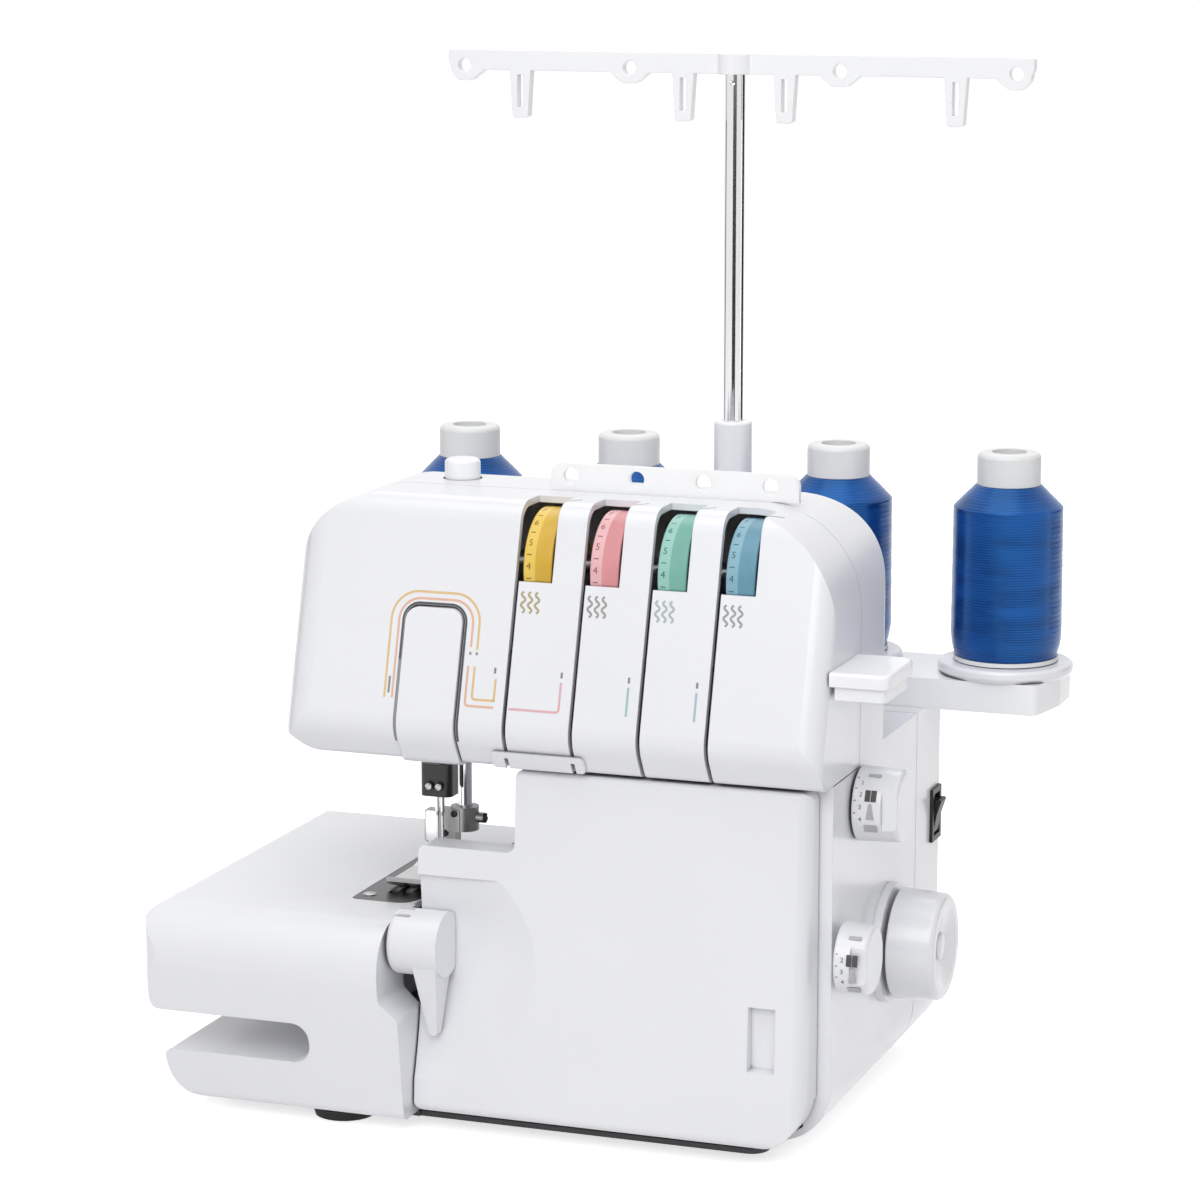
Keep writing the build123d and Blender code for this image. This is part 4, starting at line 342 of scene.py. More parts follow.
def make_materials():
    white = ((0.815, 0.82, 0.85), (0.845, 0.85, 0.88))
    return {
        "white_shell": moulded("white_shell_gloss", *white, 0.30, coat=0.35, soft_edge=0.5 * MM, gap_shade=3 * MM),
        # Lighter copy of the white shell: painted light for the stand, tree, ledge and knob, which catch less
        # light
        "white_painted_lighter": moulded("white_gloss_painted_lighter", (0.90, 0.905, 0.93), (0.93, 0.935, 0.955), 0.30,
                                coat=0.35, soft_edge=0.5 * MM, gap_shade=3 * MM),
        "lever_white": moulded("lever_white_gloss", *white, 0.28, coat=0.3, soft_edge=0.3 * MM, gap_shade=2 * MM),
        "core_white": moulded("core_white_satin", (0.78, 0.785, 0.79), (0.85, 0.85, 0.85), 0.38,
                              soft_edge=0.3 * MM, gap_shade=2 * MM),
        "black_plastic": moulded("black_plastic_satin", (0.010, 0.010, 0.011), (0.022, 0.022, 0.024), 0.42,
                                 soft_edge=0.3 * MM, relief=0.12),
        "rubber": moulded("rubber_matte", (0.010, 0.010, 0.010), (0.022, 0.022, 0.022), 0.75,
                          grain=400.0, relief=0.25),
        "motor_paint": moulded("motor_paint_satin", (0.06, 0.06, 0.065), (0.09, 0.09, 0.10), 0.4),
        "clamp_black": moulded("clamp_black_oxide", (0.010, 0.010, 0.010), (0.030, 0.028, 0.028), 0.30,
                               grain=900.0, soft_edge=0.3 * MM, relief=0.15),
        "steel": metal("steel_ground", (0.54, 0.54, 0.55), (0.62, 0.62, 0.62), 0.30,
                       (1, 0.06, 1), relief=0.005),
        "chrome": metal("chrome_polished", (0.72, 0.72, 0.73), (0.80, 0.80, 0.81), 0.10,
                        (1, 1, 0.02), 300.0, 0.02),
        "cast_alloy": metal("cast_alloy_rough", (0.38, 0.39, 0.40), (0.52, 0.53, 0.54), 0.5,
                            grain=300.0, relief=0.3),
        "bronze": metal("bronze_sintered", (0.42, 0.28, 0.12), (0.55, 0.38, 0.17), 0.4, relief=0.2),
        "ankle_metal": metal("ankle_satin", (0.34, 0.34, 0.34), (0.46, 0.46, 0.45), 0.38, (1, 1, 0.1)),
        "plate_steel": metal("plate_dark_ground", (0.09, 0.09, 0.09), (0.14, 0.14, 0.14), 0.34, (1, 0.05, 1)),
        "dial_yellow": dial_plastic("dial_yellow_band", "tension_dial_1",
                                    (0.60, 0.36, 0.03), (0.72, 0.46, 0.05), (0.80, 0.56, 0.10)),
        "dial_pink": dial_plastic("dial_pink_band", "tension_dial_2",
                                  (0.62, 0.24, 0.26), (0.72, 0.30, 0.32), (0.80, 0.46, 0.48)),
        "dial_green": dial_plastic("dial_green_band", "tension_dial_3",
                                   (0.14, 0.38, 0.31), (0.19, 0.45, 0.375), (0.30, 0.57, 0.50)),
        "dial_blue": dial_plastic("dial_blue_band", "tension_dial_4",
                                  (0.09, 0.25, 0.345), (0.135, 0.31, 0.41), (0.23, 0.43, 0.53)),
        "thread_blue": yarn("thread_blue_wound"),
    }


def ink(name, dark, light):
    """Pad-printed ink, slightly uneven."""
    return moulded(name, dark, light, 0.45, grain=1500.0)


# Finish of the carried-over pieces

def dress_nodes(materials):
    for entry in RECORD["subparts"]:
        node = frame["nodes"][entry["node"]]
        node.data.materials.clear()
        node.data.materials.append(materials[entry["material_slot"]])
    # Painted light: these white parts take the lighter copy of the white shell
    for name in ("spool_stand", "thread_tree", "side_ledge", "pressure_knob"):
        frame["nodes"][name].data.materials[0] = materials["white_painted_lighter"]
    frame["nodes"]["thread_guide_plate"].data.materials[0] = milky("guide_plate_milky")


# Thread windings

def winding_radius(height, tall, widest):
    """Barrel of a full spool: drawn in a little at the heel, with a steep shoulder under the cap."""
    if height > tall - WINDING_SHOULDER:
        share = (height - tall + WINDING_SHOULDER) / WINDING_SHOULDER
        return widest - WINDING_TAPER + (WINDING_CAP - widest + WINDING_TAPER) * share
    heel = max(0.0, 1.0 - height / WINDING_HEEL)
    return widest - WINDING_TAPER * height / tall - WINDING_DRAW * heel * heel


def thread_winding(index, material):
    node = "thread_winding_%d" % index
    low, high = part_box(node)
    centre = (low + high) / 2
    tall = high.z - low.z
    widest = (high.x - low.x) / 2 - TURN_SWELL - CROSS_SWELL
    rows = int(tall / TURN_PITCH * ROWS_A_TURN)
    rings = []
    for row in range(rows + 1):
        height = tall * row / rows
        radius = winding_radius(height, tall, widest)
        fade = min(1.0, height / WINDING_FADE, (tall - height) / WINDING_FADE)
        ring = []
        for i in range(WINDING_SIDES):
            turn = i / WINDING_SIDES
            angle = 2 * math.pi * turn
            swell = TURN_SWELL * math.sin(2 * math.pi * (height / TURN_PITCH + turn + 0.23 * index))
            swell += CROSS_SWELL * math.sin(2 * math.pi * (height / CROSS_PITCH - 3 * turn + 0.4 * index))
            reach = radius + swell * fade
            ring.append(Vector((centre.x + reach * math.cos(angle), centre.y + reach * math.sin(angle),
                                low.z + height)))
        rings.append(ring)
    for height in (tall, 0.0):
        rings.append([Vector((centre.x + WINDING_BORE * math.cos(2 * math.pi * i / WINDING_SIDES),
                              centre.y + WINDING_BORE * math.sin(2 * math.pi * i / WINDING_SIDES),
                              low.z + height)) for i in range(WINDING_SIDES)])
    verts, faces = loft(rings, caps=False)
    last = (len(rings) - 1) * WINDING_SIDES
    for i in range(WINDING_SIDES):
        j = (i + 1) % WINDING_SIDES
        faces.append((last + i, last + j, j, i))
    piece = mesh_piece("thread_wound_%d" % index, verts, faces, "spool_%d" % index, material)
    add_winding_map(piece, centre, low.z, tall)
    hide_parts(node)


def add_winding_map(piece, centre, base, tall):
    """Surface coordinates: turns round the spool across, height up."""
    layer = piece.data.uv_layers.new(name="winding")
    for polygon in piece.data.polygons:
        turns = []
        for loop in polygon.loop_indices:
            point = piece.data.vertices[piece.data.loops[loop].vertex_index].co
            turns.append(math.atan2(point.y - centre.y, point.x - centre.x) / (2 * math.pi))
        wrap = max(turns) - min(turns) > 0.5
        for loop, turn in zip(polygon.loop_indices, turns):
            point = piece.data.vertices[piece.data.loops[loop].vertex_index].co
            across = turn + 1.0 if wrap and turn < 0 else turn
            layer.data[loop].uv = (across, (point.z - base) / tall)


# Printed thread paths on the front of the head, with a painted shadow line round the take-up cover and a dark
# sheet as painted shade behind the first thread slot

def ribbon(points, wide, project, taper=0.0):
    """Thin raised strip along flat (u, v) points, laid on a surface by project(u, v, out)."""
    rings = []
    for i, (u, v) in enumerate(points):
        before = points[max(i - 1, 0)]
        after = points[min(i + 1, len(points) - 1)]
        du, dv = after[0] - before[0], after[1] - before[1]
        size = math.hypot(du, dv)
        half = wide / 2 * (1 - taper * i / (len(points) - 1))
        nu, nv = -dv / size * half, du / size * half
        rings.append([
            project(u + nu, v + nv, -INK_ROOT),
            project(u + nu, v + nv, INK_LIFT),
            project(u - nu, v - nv, INK_LIFT),
            project(u - nu, v - nv, -INK_ROOT),
        ])
    return loft(rings)


def dense(points, step):
    """The same path with points no further apart than a step."""
    result = [points[0]]
    for (u0, v0), (u1, v1) in zip(points, points[1:]):
        count = max(1, math.ceil(math.hypot(u1 - u0, v1 - v0) / step))
        result.extend((u0 + (u1 - u0) * k / count, v0 + (v1 - v0) * k / count) for k in range(1, count + 1))
    return result


def arch(left, right, foot_left, foot_right, top, radius):
    """Upside-down U from the left foot up, over and down to the right foot."""
    steps = 12
    path = [(left, foot_left)]
    for k in range(steps + 1):
        angle = math.pi - math.pi / 2 * k / steps
        path.append((left + radius + radius * math.cos(angle), top - radius + radius * math.sin(angle)))
    for k in range(steps + 1):
        angle = math.pi / 2 - math.pi / 2 * k / steps
        path.append((right - radius + radius * math.cos(angle), top - radius + radius * math.sin(angle)))
    path.append((right, foot_right))
    return path


def elbow(start, corner, end, radius):
    """Two straight runs joined by a rounded corner."""
    a = Vector((start[0] - corner[0], start[1] - corner[1])).normalized()
    b = Vector((end[0] - corner[0], end[1] - corner[1])).normalized()
    steps = 6
    path = [start]
    for k in range(steps + 1):
        share = math.pi / 2 * k / steps
        u = corner[0] + radius * (a.x * (1 - math.sin(share)) + b.x * (1 - math.cos(share)))
        v = corner[1] + radius * (a.y * (1 - math.sin(share)) + b.y * (1 - math.cos(share)))
        path.append((u, v))
    path.append(end)
    return path


def printed_paths(inks, shade_sheet_material):
    tree = surface_tree("front_panel")

    def project(x, z, lift):
        hit = tree.ray_cast(Vector((x, -1.0, z)), Vector((0, 1, 0)))
        return hit[0] + hit[1] * lift * (1 if hit[1].y < 0 else -1)

    low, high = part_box("take_up_cover")
    dial_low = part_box("tension_dial_1")[0]
    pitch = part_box("tension_dial_2")[0].x - dial_low.x
    slots = [dial_low.x - 3.2 * MM + i * pitch for i in range(4)]
    ends = [slot - 5.2 * MM for slot in slots]
    top = high.z
    base = top - 40 * MM
    foot = top - 39 * MM
    bend = 1.4 * MM
    rim = 1.45 * MM
    outer = arch(low.x - 7.0 * MM, high.x + 7.6 * MM, foot, top - 16.5 * MM, top + 6.2 * MM, 12 * MM)
    inner = arch(low.x - 3.4 * MM, high.x + 4.6 * MM, foot, top - 15.5 * MM, top + 3.4 * MM, 9.5 * MM)
    turn_in = slots[0] - 4.6 * MM
    hook_top = base + 16.5 * MM
    hook_outer = elbow((high.x + 4.2 * MM, hook_top), (high.x + 4.2 * MM, base), (turn_in, base), bend)
    hook_inner = elbow((high.x + 7.2 * MM, hook_top), (high.x + 7.2 * MM, base + 2.8 * MM),
                       (turn_in, base + 2.8 * MM), bend)
    hook_up = [(turn_in, base + 2.4 * MM), (turn_in, base + 12 * MM)]
    line_top = base + 12.5 * MM
    long_path = elbow((slots[0] + 2.6 * MM, base), (ends[1], base), (ends[1], line_top), bend)
    # Painted shadow of the gap round the take-up cover: dark over the top and down the right, grey down the
    # left
    take_up = arch(low.x - rim, high.x + rim, top - 58 * MM, top - 56 * MM, top + rim, 7.4 * MM)
    take_up = dense(take_up, LINE_STEP)
    quarter = len(take_up) // 4
    paths = {
        "print_orange": [outer, hook_inner, hook_up],
        "print_pink": [inner, hook_outer],
        "print_rose": [long_path],
        "print_green": [[(ends[2], base + 0.5 * MM), (ends[2], line_top)]],
        "print_blue": [[(ends[3], base + 0.5 * MM), (ends[3], line_top)]],
        # Dark part of the painted gap shadow
        "take_up_shade": [take_up[quarter:]],
        # The first grey line is the left leg of the painted gap shadow; the rest is grey print
        "grey_print_and_shadow": [
            take_up[:quarter + 1],
            [(high.x + 4.6 * MM, top - 17.6 * MM), (high.x + 4.6 * MM, top - 18.8 * MM)],
            [(high.x + 7.6 * MM, top - 17.6 * MM), (high.x + 7.6 * MM, top - 18.8 * MM)],
            [(low.x - 5.2 * MM, top - 30 * MM), (low.x - 5.2 * MM, top - 37 * MM)],
        ] + [[(x, base + 14.2 * MM), (x, base + 16.6 * MM)] for x in ends],
    }
    for name, lines in paths.items():
        parts = [ribbon(dense(line, LINE_STEP), LINE_WIDE, project) for line in lines]
        verts, faces = joined(parts)
        mesh_piece(name, verts, faces, "frame", inks[name], smooth=False)
    # Painted shade: a dark sheet behind the first thread slot
    slot_strip(tree, slots[0], base - 12 * MM, base + 24 * MM, shade_sheet_material)
    for i, slot in enumerate(slots):
        tension_icon(i, slot + 3.0 * MM, dial_low.z + 12.2 * MM, project, inks["tension_ink_%d" % (i + 1)])


def slot_strip(tree, x, low_z, high_z, material):
    """Dark sheet on the inner face of the panel behind the first thread slot: painted shade that keeps the
    background out of the slot.
    """
    steps, half = 12, 4.5 * MM
    backward = Vector((0, 1, 0))
    clear, thick = backward * 0.2 * MM, backward * 1.2 * MM
    rings = []
    for k in range(steps + 1):
        z = low_z + (high_z - low_z) * k / steps
        inner = []
        for edge in (x - half, x + half):
            front = tree.ray_cast(Vector((edge, -1.0, z)), backward)[0]
            inner.append(tree.ray_cast(front + clear, backward)[0])
        rings.append([point + clear for point in inner] + [point + thick for point in reversed(inner)])
    verts, faces = loft(rings)
    mesh_piece("slot_shade_strip", verts, faces, "frame", material, smooth=False)


def tension_icon(index, left, centre_z, project, material):
    """Three wavy upright strands, the common sign for thread tension."""
    tall, swing, steps = 8.8 * MM, 0.9 * MM, 28
    parts = []
    for column in range(3):
        path = []
        for k in range(steps + 1):
            share = k / steps
            across = left + (1.6 + 3.2 * column) * MM + swing * math.sin(4 * math.pi * share)
            path.append((across, centre_z + tall * (share - 0.5)))
        parts.append(ribbon(path, LINE_WIDE, project))
    verts, faces = joined(parts)
    mesh_piece("tension_mark_%d" % (index + 1), verts, faces, "frame", material, smooth=False)


# Numbers and ticks on the dials

def digit_mesh(text, tall):
    """Flat mesh of a short text, centred on its own middle, as (verts, faces)."""
    curve = bpy.data.curves.new("digits", "FONT")
    curve.body = text
    curve.size = tall / 0.7
    curve.align_x = "CENTER"
    curve.align_y = "CENTER"
    curve.resolution_u = 2
    curve.extrude = (INK_LIFT + INK_ROOT) / 2
    holder = bpy.data.objects.new("digits", curve)
    bpy.context.scene.collection.objects.link(holder)
    mesh = bpy.data.meshes.new_from_object(holder.evaluated_get(bpy.context.evaluated_depsgraph_get()))
    verts = [v.co.copy() for v in mesh.vertices]
    faces = [tuple(p.vertices) for p in mesh.polygons]
    bpy.data.objects.remove(holder)
    bpy.data.curves.remove(curve)
    bpy.data.meshes.remove(mesh)
    return verts, faces


def round_x(axis_y, axis_z, radius, x, start):
    """Maps flat (across, along, out) onto a drum about an X axis, along running up its front."""
    def place(across, along, out):
        angle = start + along / radius
        reach = radius + out
        return Vector((x + across, axis_y - reach * math.cos(angle), axis_z + reach * math.sin(angle)))
    return place


def drum_marks(name, node, body, material, band_x, digit_tall, labels, step, first, tick_x, tick_wide):
    """Numbers round a drum with a tick between each pair."""
    low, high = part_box(node)
    centre = (low + high) / 2
    radius = (high.z - low.z) / 2
    lift = (INK_LIFT - INK_ROOT) / 2
    parts = []
    for i, label in enumerate(labels):
        angle = first + step * i
        place = round_x(centre.y, centre.z, radius, band_x, angle)
        verts, faces = digit_mesh(label, digit_tall)
        parts.append(([place(v.x, v.y, v.z + lift) for v in verts], faces))
        tick = round_x(centre.y, centre.z, radius, tick_x, angle + step / 2)
        strip = [(-tick_wide / 2, 0.0), (tick_wide / 2, 0.0)]
        parts.append(ribbon(strip, TICK_TALL, tick))
    verts, faces = joined(parts)
    mesh_piece(name, verts, faces, body, material, smooth=False)


def dial_numbers(inks):
    step = math.radians(24)
    digits = [str(i) for i in range(10)]
    for i in range(1, 5):
        node = "tension_dial_%d" % i
        band_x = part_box(node)[0].x + 2.6 * MM
        drum_marks("dial_numbers_%d" % i, node, "dial_%d" % i, inks["dial_ink_%d" % i],
                   band_x, 3.0 * MM, digits, step, math.radians(-90), band_x, 2.2 * MM)
    length_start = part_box("front_cover")[1].x + 8.8 * MM
    side_dial_marks("stitch_length_dial", "length_dial", length_start, ["4", "3", "2"], -4.0 * MM, inks)
    feed_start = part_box("rear_cover")[1].x + 1.0 * MM
    side_dial_marks("differential_dial", "feed_dial", feed_start, ["4", "3", "2", "1"], 0.0, inks)


def side_dial_marks(node, body, start, labels, drop, inks):
    """Small numbers near the wall, then a bar, a bold sign, a wedge and a second bar down the drum."""
    low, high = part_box(node)
    radius = (high.z - low.z) / 2
    step = math.radians(19)
    drum_marks(node + "_numbers", node, body, inks["grey_print_and_shadow"], start + 4.0 * MM, 2.0 * MM,
               labels, step, math.radians(-12) + drop / radius, start + 1.6 * MM, 1.0 * MM)
    on = round_x(middle(node).y, middle(node).z, radius, start + 8.4 * MM, 0.0)
    signs = {
        "print_dark": [(-1.35, 4.6, 9.6, 2.3, 0.0), (1.35, 4.6, 9.6, 2.3, 0.0)],
        "print_pale": [(0.0, 16.6, 18.4, 5.6, 0.0), (0.0, 3.6, -3.4, 1.2, -2.0), (0.0, -6.2, -9.8, 5.8, 0.0)],
    }
    for ink_name, bars in signs.items():
        parts = []
        for across, begin, end, wide, taper in bars:
            path = dense([(across * MM, begin * MM + drop), (across * MM, end * MM + drop)], 0.6 * MM)
            parts.append(ribbon(path, wide * MM, on, taper=taper))
        verts, faces = joined(parts)
        mesh_piece(node + ink_name[5:], verts, faces, body, inks[ink_name], smooth=False)


# Bright guard plate on the presser ankle

def ankle_guard(material):
    low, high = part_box("presser_ankle")
    left, right = low.x + 0.6 * MM, low.x + 6.6 * MM
    bottom, top = high.z - 16.4 * MM, high.z - 1.6 * MM
    corner = 1.6 * MM
    rings = []
    for inset, out in ((0.0, 0.1), (0.0, -0.4), (0.3, -0.6)):
        ring = []
        for x, z, turn in ((right, top, 0), (left, top, 1), (left, bottom, 2), (right, bottom, 3)):
            round_off = corner - inset * MM
            middle_x = x - math.copysign(corner, x - (left + right) / 2)
            middle_z = z - math.copysign(corner, z - (bottom + top) / 2)
            for k in range(7):
                angle = math.pi / 2 * (turn + k / 6)
                ring.append(Vector((middle_x + round_off * math.cos(angle), low.y + out * MM,
                                    middle_z + round_off * math.sin(angle))))
        rings.append(ring)
    verts, faces = loft(rings)
    mesh_piece("ankle_guard_plate", verts, faces, "presser", material, smooth=False)


# Plug in the dished face of the handwheel

def wheel_plug(material):
    low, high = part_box("handwheel")
    centre = (low + high) / 2
    floor = high.x - 3.0 * MM
    profile = ((6.3, -0.2), (6.4, 0.3), (6.0, 0.8), (5.0, 1.15), (3.4, 1.4), (1.7, 1.55), (0.3, 1.6))
    rings = []
    for reach, out in profile:
        rings.append([Vector((floor + out * MM, centre.y + reach * MM * math.cos(math.pi * i / 24),
                              centre.z + reach * MM * math.sin(math.pi * i / 24))) for i in range(48)])
    verts, faces = loft(rings)
    mesh_piece("handwheel_plug", verts, faces, "drive", material)


# Screws

def screw(name, place, direction, radius, proud, body, material, turn=0.0):
    """Domed screw head with a straight slot, standing on a surface along a direction."""
    rings_out, sides = 8, 28
    slot_half, slot_deep = radius * 0.256, proud * 0.55
    verts = [Vector((0, 0, proud - slot_deep))]
    for ring in range(1, rings_out + 1):
        reach = radius * ring / rings_out
        for i in range(sides):
            angle = 2 * math.pi * i / sides
            u, v = reach * math.cos(angle), reach * math.sin(angle)
            dome = proud * (1 - 0.35 * (ring / rings_out) ** 2)
            cut = slot_deep if abs(v) < slot_half else 0.0
            verts.append(Vector((u, v, dome - cut)))
    for i in range(sides):
        angle = 2 * math.pi * i / sides
        verts.append(Vector((radius * math.cos(angle), radius * math.sin(angle), -0.3 * MM)))
    faces = [(0, 1 + i, 1 + (i + 1) % sides) for i in range(sides)]
    for ring in range(rings_out):
        for i in range(sides):
            j = (i + 1) % sides
            base = 1 + ring * sides
            faces.append((base + i, base + sides + i, base + sides + j, base + j))
    faces.append(tuple(reversed(range(1 + rings_out * sides, 1 + (rings_out + 1) * sides))))
    aim = Vector(direction).to_track_quat("Z", "Y").to_matrix() @ Matrix.Rotation(turn, 3, "Z")
    mesh_piece(name, [aim @ v + Vector(place) for v in verts], faces, body, material, smooth=False)


def screws(materials):
    clamp_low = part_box("needle_clamp")[0]
    for side, across in (("left", -2.4 * MM), ("right", 2.4 * MM)):
        place = (middle("needle_clamp").x + across, clamp_low.y, clamp_low.z + 5 * MM)
        screw("needle_screw_" + side, place, (0, -1, 0),
              1.5 * MM, 0.7 * MM, "needle_set", materials["steel"], 0.6)
    ankle_low, ankle_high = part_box("presser_ankle")
    screw("ankle_clamp_screw", (ankle_high.x, middle("presser_bar").y, ankle_high.z - 5 * MM), (1, 0, 0),
          2.3 * MM, 1.4 * MM, "presser", materials["clamp_black"], 0.4)
    for index, (x, z) in enumerate(((ankle_low.x + 10.0 * MM, ankle_high.z - 12.0 * MM),
                                    (ankle_low.x + 14.5 * MM, ankle_high.z - 2.6 * MM))):
        screw("ankle_front_screw_%d" % (index + 1), (x, ankle_low.y, z), (0, -1, 0),
              1.6 * MM, 0.8 * MM, "presser", materials["clamp_black"], 0.9 + index)
    plate_low, plate_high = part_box("needle_plate")
    for index, (x, y) in enumerate(((plate_low.x + 5 * MM, plate_low.y + 9 * MM),
                                    (plate_low.x + 5 * MM, plate_high.y - 8 * MM))):
        screw("plate_screw_%d" % (index + 1), (x, y, plate_high.z), (0, 0, 1),
              3.0 * MM, 0.6 * MM, "frame", materials["steel"], 0.5 + index)
    rear_low, rear_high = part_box("rear_cover")
    for index, (x, z) in enumerate(((rear_low.x + 14 * MM, rear_high.z - 16 * MM),
                                    (rear_high.x - 20 * MM, rear_high.z - 16 * MM),
                                    (rear_low.x + 14 * MM, rear_low.z + 18 * MM),
                                    (rear_high.x - 34 * MM, rear_low.z + 18 * MM))):
        screw("rear_screw_%d" % (index + 1), (x, rear_high.y, z), (0, 1, 0),
              3.4 * MM, 1.0 * MM, "frame", materials["steel"], 0.3 + index)


# Stage, light and camera

def studio_floor():
    size = FLOOR_HALF
    mesh = bpy.data.meshes.new("studio_floor")
    corners = [(-size, -size, 0), (size, -size, 0), (size, size, 0), (-size, size, 0)]
    mesh.from_pydata(corners, [], [(0, 1, 2, 3)])
    floor = bpy.data.objects.new("studio_floor", mesh)
    bpy.context.scene.collection.objects.link(floor)
    floor.location.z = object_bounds()[0].z - 0.2 * MM
    material, tree, shader = start_material("studio_paper")
    output = tree.nodes["Material Output"]
    tone = (FLOOR_TONE, FLOOR_TONE, FLOOR_TONE)
    colour = two_tone(tree, noise(tree, 3.0), tone, tuple(c * 1.02 for c in tone))
    tree.links.new(colour, shader.inputs["Base Color"])
    shader.inputs["Roughness"].default_value = 0.9
    shader.inputs["Specular IOR Level"].default_value = 0.1
    glow = add_node(tree, "ShaderNodeEmission")
    tree.links.new(seen_rays(tree, FLOOR_GLOW), glow.inputs["Strength"])
    total = add_node(tree, "ShaderNodeAddShader")
    tree.links.new(shader.outputs["BSDF"], total.inputs[0])
    tree.links.new(glow.outputs["Emission"], total.inputs[1])
    tree.links.new(total.outputs["Shader"], output.inputs["Surface"])
    floor.data.materials.append(material)
    floor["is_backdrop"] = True


def seen_rays(tree, strength):
    """A strength for rays that the camera sees straight, in a reflection or through glass, else 0."""
    path = add_node(tree, "ShaderNodeLightPath")
    either = add_node(tree, "ShaderNodeMath", operation="MAXIMUM")
    seen = add_node(tree, "ShaderNodeMath", operation="MAXIMUM")
    scale = add_node(tree, "ShaderNodeMath", operation="MULTIPLY")
    tree.links.new(path.outputs["Is Camera Ray"], either.inputs[0])
    tree.links.new(path.outputs["Is Glossy Ray"], either.inputs[1])
    tree.links.new(either.outputs[0], seen.inputs[0])
    tree.links.new(path.outputs["Is Transmission Ray"], seen.inputs[1])
    tree.links.new(seen.outputs[0], scale.inputs[0])
    scale.inputs[1].default_value = strength
    return scale.outputs[0]


def studio_world():
    world = bpy.data.worlds.new("studio")
    world.use_nodes = True
    bpy.context.scene.world = world
    tree = world.node_tree
    background = tree.nodes["Background"]
    background.inputs["Color"].default_value = (1, 1, 1, 1)
    most = add_node(tree, "ShaderNodeMath", operation="MAXIMUM")
    most.inputs[1].default_value = SKY_LIGHT
    tree.links.new(seen_rays(tree, 1.0), most.inputs[0])
    tree.links.new(most.outputs[0], background.inputs["Strength"])


def softbox(name, place, target, wide, tall, watts):
    light = bpy.data.lights.new(name, "AREA")
    light.shape = "RECTANGLE"
    light.size = wide
    light.size_y = tall
    light.energy = watts
    lamp = bpy.data.objects.new(name, light)
    bpy.context.scene.collection.objects.link(lamp)
    lamp.location = place
    lamp.rotation_euler = (Vector(target) - Vector(place)).to_track_quat("-Z", "Y").to_euler()


def studio_lights():
    aim = (0.0, 0.0, 0.15)
    softbox("key_softbox", (0.35, -1.8, 1.4), aim, 1.6, 1.2, 19.5)
    softbox("top_softbox", (0.0, -0.5, 1.9), aim, 1.6, 1.2, 11.0)
    softbox("right_strip", (1.7, 0.6, 0.6), aim, 0.2, 1.3, 1.3)
    softbox("back_softbox", (-0.3, 1.5, 1.9), aim, 1.4, 1.0, 9.0)


def dark_card(name, azimuth, reach, wide, tall):
    """Low black card beside the set, seen only in reflections: polished metal mirrors it as a dark streak."""
    turn = math.radians(azimuth)
    ahead = Vector((math.sin(turn), -math.cos(turn), 0.0))
    across = Vector((math.cos(turn), math.sin(turn), 0.0))
    corners = [ahead * reach + across * side * wide / 2 + Vector((0, 0, level))
               for side, level in ((-1, CARD_FOOT), (1, CARD_FOOT), (1, tall), (-1, tall))]
    mesh = bpy.data.meshes.new(name)
    mesh.from_pydata([tuple(c) for c in corners], [], [(0, 1, 2, 3)])
    card = bpy.data.objects.new(name, mesh)
    bpy.context.scene.collection.objects.link(card)
    mesh.materials.append(moulded(name + "_felt", (0.012, 0.012, 0.012), (0.022, 0.022, 0.022), 0.9))
    card.visible_camera = False
    card.visible_diffuse = False
    card.visible_transmission = False
    card.visible_shadow = False
    card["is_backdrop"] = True


def dark_cards():
    dark_card("front_card", CAMERA_AZIMUTH, 1.25, 0.95, 0.42)
    dark_card("right_card", CAMERA_AZIMUTH + 112.0, 1.4, 1.00, 0.45)
    dark_card("left_card", CAMERA_AZIMUTH - 122.0, 1.4, 0.40, 0.45)


def photo_camera():
    data = bpy.data.cameras.new("photo_camera")
    data.lens = CAMERA_LENS
    data.sensor_width = CAMERA_SENSOR
    data.sensor_fit = "HORIZONTAL"
    camera = bpy.data.objects.new("photo_camera", data)
    bpy.context.scene.collection.objects.link(camera)
    camera.location = CAMERA_PLACE
    across, up = math.radians(CAMERA_AZIMUTH), math.radians(CAMERA_ELEVATION)
    look = Vector((-math.sin(across) * math.cos(up), math.cos(across) * math.cos(up), -math.sin(up)))
    camera.rotation_euler = look.to_track_quat("-Z", "Y").to_euler()
    bpy.context.scene.camera = camera


# Assembly of the look

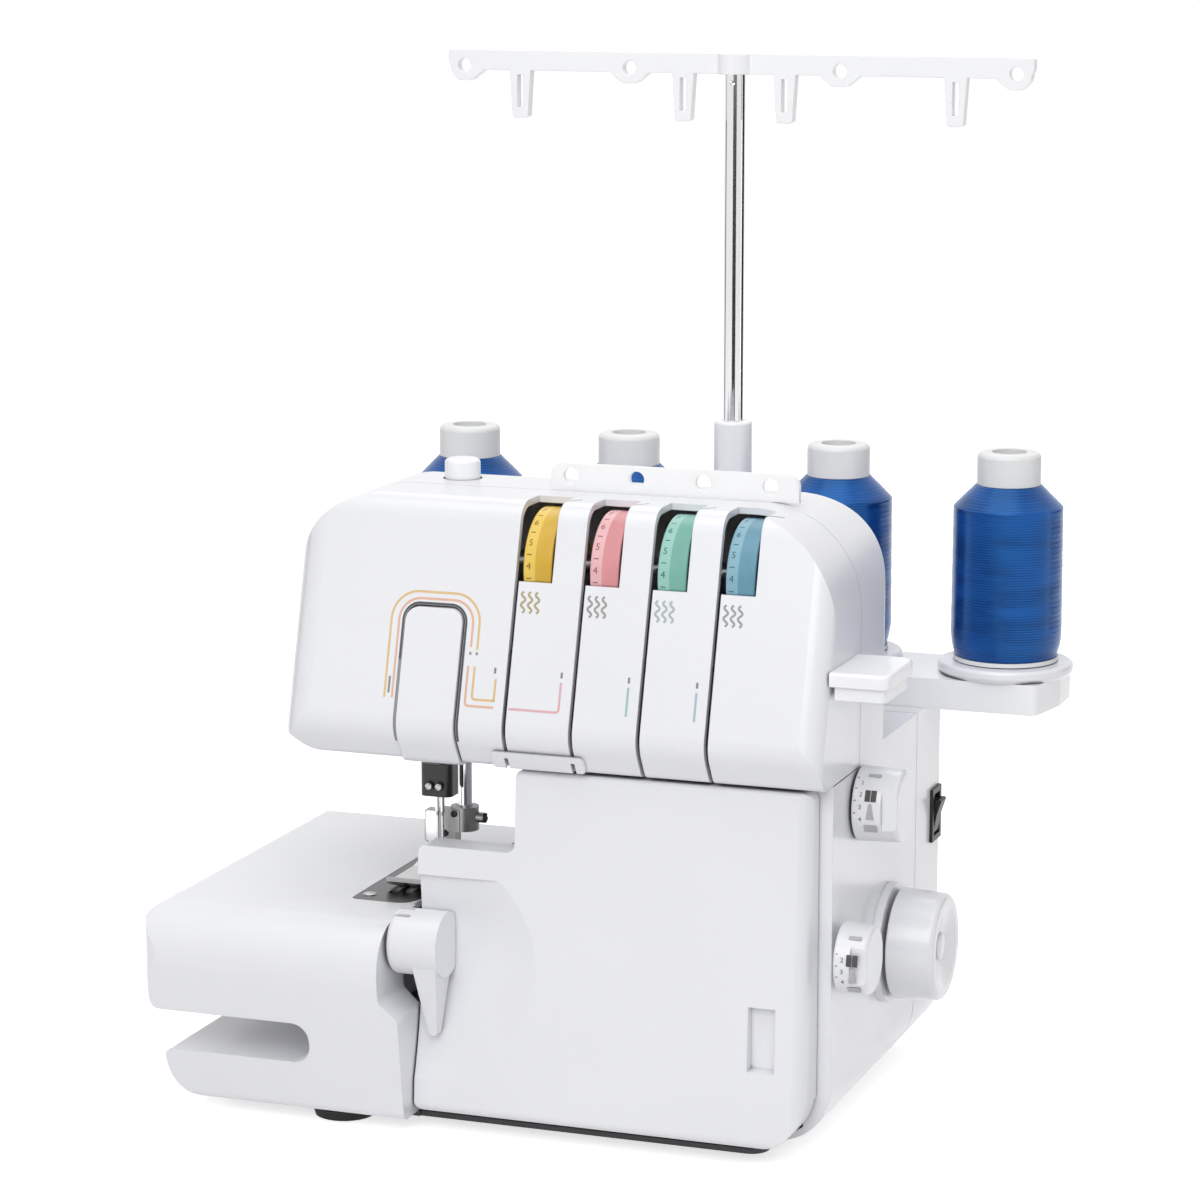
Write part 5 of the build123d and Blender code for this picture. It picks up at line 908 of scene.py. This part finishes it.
materials = make_materials()
inks = {
    "print_orange": ink("ink_sand", (0.70, 0.48, 0.22), (0.76, 0.54, 0.27)),
    "print_pink": ink("ink_salmon", (0.72, 0.42, 0.30), (0.78, 0.48, 0.36)),
    "print_rose": ink("ink_rose", (0.70, 0.40, 0.43), (0.76, 0.46, 0.49)),
    "print_green": ink("ink_green", (0.34, 0.52, 0.48), (0.40, 0.57, 0.53)),
    "print_blue": ink("ink_blue", (0.36, 0.48, 0.55), (0.42, 0.53, 0.60)),
    # Colour of the painted gap shadow round the take-up cover
    "take_up_shade": ink("painted_gap_shadow", (0.05, 0.05, 0.055), (0.08, 0.08, 0.085)),
    # Grey print, also used for the grey leg of the painted gap shadow
    "grey_print_and_shadow": ink("grey_ink_and_shadow", (0.20, 0.20, 0.20), (0.28, 0.28, 0.28)),
    "print_pale": ink("ink_pale", (0.44, 0.44, 0.45), (0.52, 0.52, 0.53)),
    "tension_ink_1": ink("ink_tension_yellow", (0.40, 0.33, 0.20), (0.46, 0.39, 0.25)),
    "tension_ink_2": ink("ink_tension_pink", (0.33, 0.30, 0.30), (0.39, 0.35, 0.35)),
    "tension_ink_3": ink("ink_tension_green", (0.36, 0.46, 0.42), (0.42, 0.51, 0.47)),
    "tension_ink_4": ink("ink_tension_blue", (0.29, 0.30, 0.32), (0.34, 0.36, 0.38)),
    "print_dark": ink("ink_dark", (0.04, 0.04, 0.04), (0.07, 0.07, 0.07)),
    "dial_ink_1": ink("dial_ink_yellow", (0.20, 0.10, 0.01), (0.26, 0.14, 0.02)),
    "dial_ink_2": ink("dial_ink_pink", (0.24, 0.06, 0.08), (0.30, 0.09, 0.11)),
    "dial_ink_3": ink("dial_ink_green", (0.02, 0.14, 0.11), (0.03, 0.18, 0.14)),
    "dial_ink_4": ink("dial_ink_blue", (0.01, 0.09, 0.14), (0.02, 0.12, 0.18)),
}
dress_nodes(materials)
for number in range(1, 5):
    thread_winding(number, materials["thread_blue"])
printed_paths(inks, materials["black_plastic"])
dial_numbers(inks)
screws(materials)
wheel_plug(materials["white_shell"])
ankle_guard(materials["chrome"])
studio_floor()
studio_world()
studio_lights()
dark_cards()
photo_camera()
bpy.context.scene.view_settings.view_transform = "Standard"
